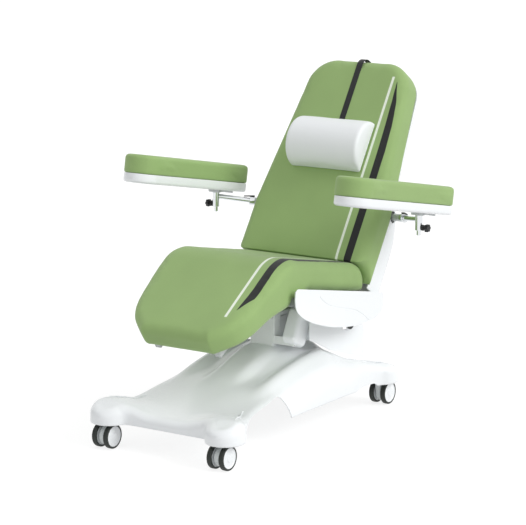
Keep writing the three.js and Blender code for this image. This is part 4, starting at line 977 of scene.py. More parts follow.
def lay_out(piece: Piece, name: str, across_along: Callable[[np.ndarray], np.ndarray]) -> None:
    """Gives a piece a flat map from its points.

    Args:
        piece: The piece.
        name: The map's name.
        across_along: Turns points in metres into (across, along) rows.
    """
    mesh = piece.data
    co = np.empty(len(mesh.vertices) * 3)
    mesh.vertices.foreach_get("co", co)
    corners = np.empty(len(mesh.loops), int)
    mesh.loops.foreach_get("vertex_index", corners)
    layer = mesh.uv_layers.get(name) or mesh.uv_layers.new(name=name)
    layer.data.foreach_set("uv", across_along(co.reshape(-1, 3))[corners].ravel())


def weave_map(piece: Piece) -> None:
    """Lays the weave on a piece, square to each of its sides, in metres."""
    mesh = piece.data
    co = np.empty(len(mesh.vertices) * 3)
    mesh.vertices.foreach_get("co", co)
    co = co.reshape(-1, 3)
    normals = np.empty(len(mesh.polygons) * 3)
    mesh.polygons.foreach_get("normal", normals)
    main = np.abs(normals.reshape(-1, 3)).argmax(1)
    sizes = np.empty(len(mesh.polygons), int)
    mesh.polygons.foreach_get("loop_total", sizes)
    corners = np.empty(len(mesh.loops), int)
    mesh.loops.foreach_get("vertex_index", corners)
    spread = np.repeat(main, sizes)
    points = co[corners]
    pairs = np.array([[1, 2], [0, 2], [0, 1]])[spread]
    flat = np.take_along_axis(points, pairs, axis=1)
    layer = mesh.uv_layers.get("weave") or mesh.uv_layers.new(name="weave")
    layer.data.foreach_set("uv", flat.ravel())


def dress(piece: Piece, material: bpy.types.Material, body: str, slot: str, *nodes: str) -> None:
    """Gives a piece its finish and says what it rides on and stands for.

    Args:
        piece: The finished piece.
        material: Its finish.
        body: The body that it moves with.
        slot: The record's material slot; not used.
        *nodes: The part's nodes that it replaces.
    """
    piece.data.materials.clear()
    piece.data.materials.append(material)
    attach(piece, body)
    if nodes:
        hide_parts(*nodes)
    log.info("%s rides on %s with %d faces", piece.name, body, len(piece.data.polygons))


def side_of(points: np.ndarray) -> np.ndarray:
    """The (y, z) of points in the drawing's own place."""
    return np.stack([points[:, 1] - SHIFT_Y, points[:, 2]], axis=1)


@dataclass
class SeatAndLeg:
    """The continuous cushion of the seat and the leg rest."""

    half_width: float = 302.0
    thickness: float = 119.0
    rear_round: float = 93.0
    foot: float = 404.0
    edge: float = 37.0
    taper: Points = ((302, -900), (302, 48), (295, 135), (279, 252), (252, 318), (221, 356), (165, 404))

    def side(self) -> list[Point]:
        """The cushion's outline seen from the side."""
        rear = SEAT.at(0, -self.rear_round)
        tilt = math.degrees(math.atan2(SEAT.forward[1], SEAT.forward[0]))
        heel = 180 + math.degrees(math.asin((self.thickness - self.rear_round) / self.rear_round))
        outline = [
            (rear[0] + self.rear_round * math.cos(a), rear[1] + self.rear_round * math.sin(a))
            for a in (math.radians(tilt - angle) for angle in np.linspace(heel, 90, 18))
        ]
        outline += [
            (KNEE[0] + KNEE_RADIUS * math.cos(a), KNEE[1] + KNEE_RADIUS * math.sin(a))
            for a in (math.radians(tilt - angle) for angle in np.linspace(90, 45.6, 14))
        ]
        beyond = self.foot + 60
        outline += [LEG.at(beyond, KNEE_RADIUS), LEG.at(beyond, KNEE_RADIUS - 115)]
        outline += along_curve(
            [LEG.at(self.foot - 60, KNEE_RADIUS - 116), LEG.at(160, 32), (-119.0, 557.0), (0.0, 600.7)], 5
        )
        return outline

    def plan(self) -> list[Point]:
        """The cushion's outline seen from above the leg rest: half-width against distance from the knee."""
        edge = [self.taper[0]] + along_curve(self.taper[1:], 4)
        return edge + [(-x, a) for x, a in reversed(edge)]

    def build(self) -> None:
        """Makes the cushion, whose side outline runs over the knee, then the board and the hinge caps."""
        cushion = SoftForm(
            name="seat_and_leg_cushion",
            side=self.side(),
            plan=self.plan(),
            to_side=side_of,
            to_plan=lambda p: np.stack([p[:, 0], LEG.along(p[:, 1] - SHIFT_Y, p[:, 2])], axis=1),
            side_place=from_side,
            plan_place=lambda x, a, up: world(x, *LEG.at(a, up)),
            half_width=self.half_width + 20,
            plan_low=-700,
            plan_high=1200,
            rounding=lambda p: np.full(len(p), self.edge),
        )
        piece = cushion.build()
        weave_map(piece)
        lay_out(piece, "lay", self.lay)
        rows = ((-5, 226, 259), (420, 226, 259), (690, 225, 259), (745, 222, 255), (818, 214, 216))
        stripes = stripe_pair(-5, 862, rows)
        cloth = Cloth("seat_upholstery", GREEN, stripes=stripes)
        piece.data.materials.clear()
        piece.data.materials.append(cloth.material())
        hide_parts("seat_pad", "leg_pad")
        start = world(0, *SEAT.at(SEAT_LENGTH - 110, 0))
        end = world(0, *LEG.at(150, KNEE_RADIUS))
        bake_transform(piece)
        log.info("%s has %d faces", piece.name, len(piece.data.polygons))
        self.board()
        self.hinge()

    def hinge(self) -> None:
        """Makes the caps at both ends of the knee's axis, in a grey darkened with painted shade of the gap under the
        seat.
        """
        out, up = ACROSS, UP
        cap = [(0, 268), (20, 268), (20, 308), (18, 311), (7, 311), (6, 309), (0, 309)]
        parts = [Bench.turned("cap", cap, world(0, *KNEE), out * side, up, 40) for side in (1, -1)]
        piece = Bench.join(parts, "knee_hinge_caps")
        Bench.smooth(piece, 30)
        # The caps' dark grey is partly painted shade: the shade of the gap under the seat is in the colour.
        dress(piece, HINGE_GREY_PAINTED_SHADE.material(), "seat", "frame_steel")

    def board(self) -> None:
        """Makes the leg rest's board, which stays inside the cushion's rounded edges."""
        outline = [LEG.at(190, 46.5), LEG.at(345, 58.2), LEG.at(345, 46.4), LEG.at(190, 34.7)]
        piece = Bench.prism("leg_board_panel", outline, from_side, -150, 150)
        dress(piece, BOARD_CLOTH.material(), "leg_rest", "board", "leg_board")

    @staticmethod
    def lay(points: np.ndarray) -> np.ndarray:
        """Across and along the cover, from the crotch over the knee to the foot, in metres."""
        y, z = points[:, 1] / MM - SHIFT_Y, points[:, 2] / MM
        on_seat = SEAT.along(y, z)
        on_leg = LEG.along(y, z)
        angle = np.arctan2(on_seat - SEAT_LENGTH, (y - KNEE[0]) * SEAT.up[0] + (z - KNEE[1]) * SEAT.up[1])
        arc_length = KNEE_RADIUS * math.radians(44.4)
        round_knee = SEAT_LENGTH + KNEE_RADIUS * np.clip(angle, 0, math.radians(44.4))
        along = np.where(on_seat < SEAT_LENGTH, on_seat, round_knee)
        along = np.where((on_leg > 0) & (on_seat > SEAT_LENGTH), SEAT_LENGTH + arc_length + on_leg, along)
        return np.stack([points[:, 0], along * MM], axis=1)


@dataclass
class BackRest:
    """The back's cushion, with its head pillow and strap."""

    half_width: float = 325.0
    top_half: float = 256.0
    taper_start: float = 250.0
    taper_end: float = 790.0
    top: float = 950.0
    thickness: float = 125.0
    corner: float = 140.0
    front_edge: float = 38.0
    rear_edge: float = 15.0
    heel_clearance: float = 94.0
    seat_round: float = 93.0

    def plan(self) -> list[Point]:
        """The outline seen square to the back: half-width against height along it."""
        slope = (self.half_width - self.top_half) / (self.taper_end - self.taper_start)
        corner_half = self.top_half - (self.top - self.taper_end) * slope * 0.4
        points = [
            (self.half_width, -400.0),
            (self.half_width, self.taper_start),
            (corner_half, self.top),
            (-corner_half, self.top),
            (-self.half_width, self.taper_start),
            (-self.half_width, -400.0),
        ]
        return filleted(points, [0, self.taper_start, self.corner, self.corner, self.taper_start, 0], 12)

    def side(self) -> list[Point]:
        """The outline seen from the side, with the heel that follows the seat's rear."""
        rear = SEAT.at(0, -self.seat_round)
        tilt = math.degrees(math.atan2(SEAT.forward[1], SEAT.forward[0]))
        heel = [
            (rear[0] + self.heel_clearance * math.cos(a), rear[1] + self.heel_clearance * math.sin(a))
            for a in (math.radians(tilt - angle) for angle in np.linspace(92, 178, 18))
        ]
        rear_line = [BACK.at(-54, self.thickness), BACK.at(self.top + 60, self.thickness)]
        return [BACK.at(self.top + 60, 0)] + heel + rear_line

    def rounding(self, points: np.ndarray) -> np.ndarray:
        """A wide edge in front and a narrow one at the rear."""
        y, z = points[:, 1] - SHIFT_Y, points[:, 2]
        behind = (y - BACK.start[0]) * BACK.up[0] + (z - BACK.start[1]) * BACK.up[1]
        share = np.clip((behind - 55) / 25, 0, 1)
        return self.front_edge + (self.rear_edge - self.front_edge) * share

    def build(self) -> None:
        """Makes the back's cushion with its stripes."""
        cushion = SoftForm(
            name="back_cushion",
            side=self.side(),
            plan=self.plan(),
            to_side=side_of,
            to_plan=lambda p: np.stack([p[:, 0], BACK.along(p[:, 1] - SHIFT_Y, p[:, 2])], axis=1),
            side_place=from_side,
            plan_place=lambda x, a, behind: world(x, *BACK.at(a, behind)),
            half_width=self.half_width + 20,
            plan_low=-500,
            plan_high=600,
            rounding=self.rounding,
        )
        piece = cushion.build()
        weave_map(piece)
        lay_out(
            piece, "lay", lambda p: np.stack([p[:, 0], BACK.along(p[:, 1] / MM - SHIFT_Y, p[:, 2] / MM) * MM], axis=1)
        )
        rows = ((-40, 224, 260), (300, 224, 260), (520, 222, 256), (640, 219, 249), (740, 214, 236), (845, 209, 211))
        cloth = Cloth("back_upholstery", GREEN, stripes=stripe_pair(-40, 868, rows))
        dress(piece, cloth.material(), "back", "upholstery", "back_pad")


@dataclass
class HeadPillow:
    """The D-shaped pillow and the strap that holds it."""

    half_length: float = 181.0
    centre: float = 523.0
    half_height: float = 117.0
    depth: float = 110.0
    end_round: float = 15.0
    strap_width: float = 28.0
    strap_thick: float = 2.0
    strap_low: float = 500.0

    def build(self) -> None:
        """Makes the pillow and its strap."""
        side = [
            BACK.at(self.centre - self.half_height * math.cos(a), -1 - self.depth * math.sin(a))
            for a in (math.pi * i / 24 for i in range(25))
        ]
        plan = [
            (self.half_length, self.centre - 400),
            (self.half_length, self.centre + 400),
            (-self.half_length, self.centre + 400),
            (-self.half_length, self.centre - 400),
        ]
        cushion = SoftForm(
            name="head_pillow",
            side=side,
            plan=plan,
            to_side=side_of,
            to_plan=lambda p: np.stack([p[:, 0], BACK.along(p[:, 1] - SHIFT_Y, p[:, 2])], axis=1),
            side_place=from_side,
            plan_place=lambda x, a, behind: world(x, *BACK.at(a, behind)),
            half_width=self.half_length + 20,
            plan_low=-500,
            plan_high=600,
            rounding=lambda p: np.full(len(p), self.end_round),
            voxel=6.0,
            swell=4.0,
            shrink=1.0,
        )
        piece = cushion.build()
        weave_map(piece)
        cloth = Cloth("pillow_cover_cloth", linear(238, 241, 243), pitch=1.6, depth=0.12, contrast=0.04, roughness=0.5)
        dress(piece, cloth.material(), "pillow", "pillow_cover", "pillow")
        self.build_strap()

    def build_strap(self) -> None:
        """Makes the strap, which lies on the back and goes over its top."""
        back = BackRest()
        front = arc((back.top - back.front_edge, back.front_edge), back.front_edge, -90, 0, 8)
        rear = arc((back.top - back.rear_edge, back.thickness - back.rear_edge), back.rear_edge, 0, 84, 5)
        route = [(self.strap_low, 0.0)] + front + rear
        near, far = [], []
        for i, (a, b) in enumerate(route):
            before, after = route[max(i - 1, 0)], route[min(i + 1, len(route) - 1)]
            along = Vector((after[0] - before[0], after[1] - before[1])).normalized()
            out = Vector((along.y, -along.x))
            near.append(BACK.at(a + out.x * 3.0, b + out.y * 3.0))
            far.append(BACK.at(a + out.x * (3.0 + self.strap_thick), b + out.y * (3.0 + self.strap_thick)))
        half = self.strap_width / 2
        piece = Bench.prism("pillow_strap_web", near + far[::-1], from_side, -half, half)
        Bench.modify(piece, "BEVEL", width=0.6 * MM, segments=2, limit_method="ANGLE")
        Bench.smooth(piece)
        weave_map(piece)
        cloth = Cloth("strap_webbing", linear(20, 22, 24), pitch=2.0, depth=0.8, contrast=0.4)
        dress(piece, cloth.material(), "back", "strap_web", "pillow_strap")


@dataclass
class ArmCushion:
    """The padded top of an armrest."""

    side: Side
    half: float = 82.5
    outset: float = 6.6
    forward: float = 622.0
    rearward: float = 148.0
    rear_round: float = 34.0
    tray: float = 40.0
    pad: float = 78.0
    post: tuple[float, float, float] = (512.0, 495.0, 870.0)
    slope: float = 10.7

    def place(self, a: float, b: float, up: float) -> Vector:
        """A point of the armrest's own space in the frame."""
        turn = math.radians(self.slope)
        x, y, z = self.post
        return world(
            self.side.value * (x + self.outset) + a,
            y + b * math.cos(turn) + up * math.sin(turn),
            z - b * math.sin(turn) + up * math.cos(turn),
        )

    def local(self, points: np.ndarray) -> np.ndarray:
        """Turns frame points in millimetres into the armrest's own space."""
        turn = math.radians(self.slope)
        x = points[:, 0] - self.side.value * (self.post[0] + self.outset)
        y = points[:, 1] - SHIFT_Y - self.post[1]
        z = points[:, 2] - self.post[2]
        return np.stack([x, y * math.cos(turn) - z * math.sin(turn), y * math.sin(turn) + z * math.cos(turn)], axis=1)

    def plan(self, inset: float) -> list[Point]:
        """The armrest's outline from above: round in front, with small corners behind."""
        half, front, rear = self.half - inset, -self.forward + inset, self.rearward - inset
        radius = self.rear_round - inset
        return (
            arc((0, front + half), half, 180, 360, 28)
            + arc((half - radius, rear - radius), radius, 0, 90, 6)
            + arc((-half + radius, rear - radius), radius, 90, 180, 6)
        )

    def build(self) -> None:
        """Makes the pad that lies on the tray; the tray is made with the arm's hardware."""
        low, high = self.tray + TOUCH, self.tray + self.pad
        side = [(-700.0, low), (300.0, low), (300.0, high), (-700.0, high)]
        cushion = SoftForm(
            name=f"arm_cushion_{self.side.word}",
            side=side,
            plan=self.plan(0),
            to_side=lambda p: self.local(p)[:, 1:],
            to_plan=lambda p: self.local(p)[:, :2],
            side_place=lambda a, b, x: self.place(x, a, b),
            plan_place=self.place,
            half_width=120,
            plan_low=0,
            plan_high=160,
            rounding=lambda p: np.where(self.local(p)[:, 2] > (low + high) / 2, 15.0, 4.0),
            voxel=6.0,
            swell=2.5,
            shrink=0.5,
        )
        piece = cushion.build()
        weave_map(piece)
        word = self.side.word
        dress(piece, Cloth("arm_upholstery", GREEN).material(), f"arm_rest_{word}", "upholstery", f"arm_pad_{word}")


def drawn_in(outline: Sequence[Point], by: Sequence[float]) -> list[Point]:
    """Moves each corner of a closed outline inwards by its own distance.

    Args:
        outline: The corners, counter-clockwise.
        by: One distance for each corner.

    Returns:
        The smaller outline, with as many corners.
    """
    result: list[Point] = []
    count = len(outline)
    for i, (x, y) in enumerate(outline):
        before = (Vector((x, y)) - Vector(outline[i - 1])).normalized()
        after = (Vector(outline[(i + 1) % count]) - Vector((x, y))).normalized()
        inward = Vector((-before.y, before.x))
        middle = (inward + Vector((-after.y, after.x))).normalized()
        reach = by[i] / max(middle.dot(inward), 0.5)
        result.append((x + middle.x * reach, y + middle.y * reach))
    return result


def bent(start: Point, control: Point, end: Point, steps: int) -> list[Point]:
    """Points of a quadratic curve.

    Args:
        start: Where it starts, which isn't among the points.
        control: The point that pulls it.
        end: Where it ends.
        steps: How many chords it has.

    Returns:
        The points after the first.
    """
    result: list[Point] = []
    for i in range(1, steps + 1):
        t = i / steps
        pulls = ((1 - t) ** 2, 2 * t * (1 - t), t * t)
        result.append(tuple(sum(w * p[c] for w, p in zip(pulls, (start, control, end))) for c in (0, 1)))
    return result


def eased(value: float, low: float, high: float) -> float:
    """A smooth step from 0 at low to 1 at high."""
    share = min(max((value - low) / (high - low), 0.0), 1.0)
    return share * share * (3 - 2 * share)


def rounded_levels(low: float, high: float, low_round: float, high_round: float, steps: int = 5) -> list[Point]:
    """Rows of depth and inset for a slab whose two edges are rounded.

    Args:
        low: Depth of the first face.
        high: Depth of the last face.
        low_round: The first edge's radius.
        high_round: The last edge's radius.
        steps: Rows in each rounded edge.

    Returns:
        The rows, from the first face to the last.
    """
    angles = [math.pi / 2 * i / steps for i in range(steps + 1)]
    first = [(low + low_round * (1 - math.cos(a)), low_round * (1 - math.sin(a))) for a in angles]
    last = [(high - high_round * (1 - math.sin(a)), high_round * (1 - math.cos(a))) for a in angles]
    return first + last


def hull_of(points: Sequence[Point]) -> list[Point]:
    """The corners of the smallest convex outline round some points."""
    return [points[i] for i in convex_hull_2d([Vector(p) for p in points])]


@dataclass
class BaseCover:
    """The moulded cover over the base, with a lobe over each caster."""

    half_width: float = 300.0
    half_base: float = 581.0
    end: float = 591.0
    lobe_x: float = 280.0
    lobe_radius: float = 80.0
    lobe_turn: tuple[int, int] = (203, 402)
    recess: float = 42.0
    waist: float = 430.0
    hump: float = 324.0
    skirt: float = 102.0
    wall: float = 4.0
    side_fillet: float = 58.0
    lobe_fillet: float = 40.0
    lip: float = 5.0
    ridge: Points = (
        (-1.16, 0.42), (-1.0, 0.58), (-0.88, 0.575), (-0.74, 0.53), (-0.47, 0.61), (-0.22, 0.7), (0, 0.79),
        (0.2, 0.91), (0.34, 0.94), (0.55, 0.8), (0.8, 0.64), (1.0, 0.57), (1.16, 0.42),
    )
    spine: Points = (
        (-1.16, 0.42), (-1.0, 0.46), (-0.74, 0.54), (-0.47, 0.67), (-0.22, 0.83), (0, 0.96), (0.15, 1.0),
        (0.34, 1.0), (0.55, 0.84), (0.8, 0.62), (1.0, 0.5), (1.16, 0.42),
    )
    carving: tuple[tuple[float, float, float, float], ...] = (
        (-330, 204, 208, 214), (-200, 222, 224, 236), (-84, 250, 246, 262), (4, 276, 264, 279), (107, 298, 280, 292),
        (202, 314, 292, 300), (260, 316, 290, 288), (300, 312, 284, 271), (420, 262, 250, 236),
    )
    frame_x: float = 250.0
    frame_y: float = 440.0
    frame_waist: float = 150.0
    lean: float = 33.0
    flank_drops: Points = ((0.8, 26), (1.0, 90), (1.4, 220))
    front_notch: Points = (
        (-0.866, 0), (-0.856, 0.19), (-0.835, 0.228), (-0.335, 0.435), (-0.31, 0.41), (-0.235, 0),
    )
    rear_notch: Points = ((0.6, 0), (0.64, 0.03), (0.69, 0.07), (0.82, 0.075), (0.86, 0))

    def quarter(self) -> list[Point]:
        """A quarter of the outline, from the middle of the front end to the middle of the left side."""
        lobe = (self.lobe_x, -self.half_base)
        first, last = math.radians(self.lobe_turn[0]), math.radians(self.lobe_turn[1])
        round_part = arc(lobe, self.lobe_radius, *self.lobe_turn, 44)
        inner, outer = round_part[0], round_part[-1]
        start = (inner[0] - self.recess, -self.end)
        flat = [(start[0] * i / 8, -self.end) for i in range(9)]
        entry = bent(start, (inner[0] + (self.end + inner[1]) * math.tan(first), -self.end), inner, 10)
        pull = (self.half_width, outer[1] + (outer[0] - self.half_width) / math.tan(last))
        flank = bent(outer, pull, (self.half_width, -self.waist / 2), 16)
        side = [(self.half_width, -self.waist / 2 * (1 - i / 9)) for i in range(1, 10)]
        return flat + entry + round_part[1:] + flank + side

    def outline(self) -> list[Point]:
        """The whole outline, counter-clockwise from above."""
        return self.mirrored(self.quarter())

    @staticmethod
    def carved(y: float) -> float:
        """How far the ridges beside the column are formed at a distance along the base, from 0 to 1."""
        return eased(y, -330, -110) * (1 - eased(y, 300, 420))

    @staticmethod
    def mirrored(quarter: Sequence[Point]) -> list[Point]:
        """A closed line from its first quarter, counter-clockwise from above."""
        half = list(quarter) + [(x, -y) for x, y in reversed(quarter[:-1])]
        return half + [(-x, y) for x, y in reversed(half[1:-1])]

    def roots(self) -> tuple[list[Point], int]:
        """Where the rows that run out to the edge start, on a frame round the middle of the top.

        Returns:
            The points of a quarter of the frame, and the number of the point at its corner.
        """
        quarter = self.quarter()
        corner = min(range(len(quarter)), key=lambda i: quarter[i][1])
        far = quarter[corner]
        points = [(x / far[0] * self.frame_x, -self.frame_y) for x, _ in quarter[:corner]]
        for _, y in quarter[corner:]:
            share = y / far[1]
            points.append((self.frame_waist + (self.frame_x - self.frame_waist) * share**2, -self.frame_y * share))
        return points, corner

    def middle(self, curves: Sequence[np.ndarray]) -> Piece:
        """The middle of the top, inside the frame, as a grid.

        Args:
            curves: The rows of the ridge and of the spine.

        Returns:
            The open sheet.
        """
        quarter, corner = self.roots()
        across = [x / self.frame_x for x, _ in quarter[: corner + 1]]
        across = [-x for x in reversed(across[1:])] + across
        side = quarter[corner:]
        side = side + [(x, -y) for x, y in reversed(side[:-1])]
        Bench.clear()
        columns, rows = len(across) - 1, len(side) - 1
        bpy.ops.mesh.primitive_grid_add(x_subdivisions=columns, y_subdivisions=rows, size=1.0)
        sheet = Bench.settle(Bench.named("cover_middle"))
        for vertex in sheet.data.vertices:
            wide, y = side[round((vertex.co.y + 0.5) * rows)]
            x = across[round((vertex.co.x + 0.5) * columns)] * wide
            vertex.co = world(x, y, self.height(x, y, *curves))
        return sheet

    def height(self, x: float, y: float, ridge: np.ndarray, spine: np.ndarray) -> float:
        """The height of the cover's top over a point.

        Args:
            x: Distance from the middle line.
            y: Distance along the base.
            ridge: Rows of along and height near the sides.
            spine: Rows of along and height on the middle line.

        Returns:
            The height over the floor.
        """
        side = abs(x) / self.half_width
        high = float(np.interp(y, ridge[:, 0], ridge[:, 1]))
        middle = float(np.interp(y, spine[:, 0], spine[:, 1]))
        plain = middle + (high - middle) * eased(side, 0.22, 0.86)
        carved = self.carved(y)
        if carved <= 0:
            return plain
        columns = list(zip(*self.carving))
        inner, groove, crest = (float(np.interp(y, columns[0], column)) for column in columns[1:])
        across = [(0.0, middle), (0.19, middle - 3), (0.333, inner), (0.5, groove), (0.667, crest)]
        across += [(share, crest - drop) for share, drop in self.flank_drops]
        rows = np.array(along_curve(across, 6))
        return plain + (float(np.interp(side, rows[:, 0], rows[:, 1])) - plain) * carved

    def curves(self) -> list[np.ndarray]:
        """The rows of along and height of the ridge and of the spine."""
        found = []
        for shares in (self.ridge, self.spine):
            rows = along_curve([(a * self.half_base, h * self.hump) for a, h in shares], 8)
            found.append(np.array(rows))
        return found

    def rings(self, curves: Sequence[np.ndarray]) -> list[list[Vector]]:
        """Rings of the cover, from the frame round its middle over the edge down to the lip.

        Args:
            curves: The rows of the ridge and of the spine.

        Returns:
            The rings, with a point for each point of the outline.
        """
        outline = self.outline()
        fillets = [
            self.side_fillet + (self.lobe_fillet - self.side_fillet) * eased(abs(y), 300, 500) for _, y in outline
        ]
        shoulder = drawn_in(outline, fillets)
        middle = self.mirrored(self.roots()[0])
        tops = [self.height(x, y, *curves) for x, y in shoulder]
        rings = []
        for share in np.linspace(0, 1, 17):
            ring = []
            for (mx, my), (sx, sy) in zip(middle, shoulder):
                x, y = mx + (sx - mx) * share, my + (sy - my) * share
                ring.append(world(x, y, self.height(x, y, *curves)))
            rings.append(ring)
        leans = [math.radians(self.lean) * self.carved(y) for _, y in outline]
        radii = [f / (1 - math.sin(start)) for f, start in zip(fillets, leans)]
        for step in range(1, 8):
            angles = [start + (math.pi / 2 - start) * step / 7 for start in leans]
            edge = drawn_in(outline, [r * (1 - math.sin(a)) for r, a in zip(radii, angles)])
            drops = [r * (math.cos(start) - math.cos(a)) for r, a, start in zip(radii, angles, leans)]
            rings.append([world(x, y, t - d) for (x, y), t, d in zip(edge, tops, drops)])
        walls = [t - r * math.cos(start) for t, r, start in zip(tops, radii, leans)]
        for share in (0.4, 0.8):
            rings.append(
                [
                    world(x, y, wall * (1 - share) + (self.skirt + self.lip) * share)
                    for (x, y), wall in zip(outline, walls)
                ]
            )
        for step in range(4):
            angle = math.pi / 2 * step / 3
            edge = drawn_in(outline, [self.lip * (1 - math.cos(angle))] * len(outline))
            rings.append([world(x, y, self.skirt + self.lip * (1 - math.sin(angle))) for x, y in edge])
        return rings

    def notch(self, shares: Sequence[Point], radii: Sequence[float], side: int, name: str) -> Piece:
        """The tool that cuts one opening into the skirt.

        Args:
            shares: The opening's corners as shares of length and height.
            radii: The corners' radii.
            side: 1 for the left and -1 for the right.
            name: The tool's name.

        Returns:
            The tool.
        """
        up = self.hump - self.skirt
        corners = [(a * self.half_base, self.skirt + s * up) for a, s in shares]
        corners = [(corners[0][0], self.skirt - 20)] + corners + [(corners[-1][0], self.skirt - 20)]
        outline = filleted(corners, [0, *radii, 0])
        return Bench.prism(name, outline, from_side, side * 150, side * 400)

    def build(self) -> None:
        """Makes the cover with its openings and the hole for the column."""
        curves = self.curves()
        piece = Bench.join([Bench.loft("cover_edge", self.rings(curves)), self.middle(curves)], "base_cover_moulding")
        Bench.tidy(piece)
        Bench.modify(piece, "SOLIDIFY", thickness=self.wall * MM, offset=-1.0, use_quality_normals=True)
        for side in (1, -1):
            Bench.boolean(piece, self.notch(self.front_notch, (0, 14, 20, 16, 14, 0), side, "front_cut"), "DIFFERENCE")
            Bench.boolean(piece, self.notch(self.rear_notch, (0, 20, 20, 20, 0), side, "rear_cut"), "DIFFERENCE")
        hole = filleted([(-59.4, 87.6), (59.4, 87.6), (59.4, 218.4), (-59.4, 218.4)], [10.4] * 4)
        Bench.boolean(piece, Bench.prism("column_cut", hole, world, 150, 400), "DIFFERENCE")
        Bench.smooth(piece, 35)
        dress(piece, WHITE.material(), "base", "white_shell", "base_cover")


@dataclass
class Caster:
    """A twin-wheel caster: two wheels with bonded tyres and the housing between them."""

    side: Side
    end: int
    span: tuple[float, float] = (280.0, 581.0)
    trail: float = 24.0
    radius: float = 50.0
    spread: float = 28.0

    @property
    def corner(self) -> str:
        """The caster's corner as the nodes spell it."""
        return f"{'front' if self.end < 0 else 'rear'}_{self.side.word}"

    def wheel(self, which: str, out: int) -> None:
        """Makes a tyre and its disc.

        Args:
            which: Outer or inner.
            out: Which way along X the wheel's own outside faces.
        """
        x, y = self.side.value * self.span[0] + out * self.spread, self.end * (self.span[1] + self.trail)
        centre = world(x, y, self.radius)
        axis, aside = Vector((out, 0, 0)), UP
        body = f"wheel_{which}_{self.corner}"
        edge = arc((self.radius - 5, 6.5), 5, 0, 72, 4)
        tyre = [(41.6, 10.2), (41.6, -10.2)] + [(r, -a) for r, a in reversed(edge)] + edge
        piece = Bench.turned(f"tyre_{which}_{self.corner}", tyre, centre, axis, aside, 72)
        Bench.smooth(piece, 35)
        dress(piece, TYRE.material(), body, "tyre", body)
        disc = [
            (6.3, -11), (13, -11), (14, -7), (38, -7), (41.4, -9.6), (41.4, 9.8), (40.4, 10.4), (38.6, 9.6),
            (36.5, 8.2), (18, 8.8), (15.5, 9.6), (14.6, 10.6), (12.5, 11.0), (0, 11.2), (0, 6), (6.3, 6),
        ]
        piece = Bench.turned(f"disc_{which}_{self.corner}", disc, centre, axis, aside, 72)
        Bench.smooth(piece, 30)
        dress(piece, WHITE.material(), body, "white_shell")

    def housing(self) -> None:
        """Makes the web between the wheels, the head, the stem and the axle."""
        x0, y0 = self.side.value * self.span[0], self.end * self.span[1]
        way = self.end
        hull = [(y, z) for y, z in arc((self.trail, self.radius), 37.5, 0, 360, 60)[:-1]]
        hull += [(-20, 99), (20, 99), (-12, 104), (12, 104)]
        order = hull_of(hull)
        outline = [(y0 + way * y, z) for y, z in order]
        web = Bench.prism(f"housing_{self.corner}", outline, from_side, x0 - 12.8, x0 + 12.8)
        Bench.modify(web, "BEVEL", width=4 * MM, segments=4, limit_method="ANGLE", angle_limit=math.radians(50))
        up, out = UP, ACROSS
        head = Bench.turned(
            "head", [(0, 99), (22, 99), (25, 101), (25, 107.6), (11, 107.6), (11, 141), (10, 142), (0, 142)],
            world(x0, y0, 0), up, out, 48,
        )
        axle = Bench.turned(
            "axle", [(0, -33), (6, -33), (6, 33), (0, 33)], world(x0, y0 + way * self.trail, self.radius), out, up, 24
        )
        piece = Bench.join([web, head, axle], f"housing_{self.corner}")
        Bench.smooth(piece, 35)
        dress(piece, CASTER_GREY.material(), f"caster_{self.corner}", "white_shell", f"caster_housing_{self.corner}")

    def build(self) -> None:
        """Makes the whole caster."""
        self.wheel("outer", self.side.value)
        self.wheel("inner", -self.side.value)
        self.housing()


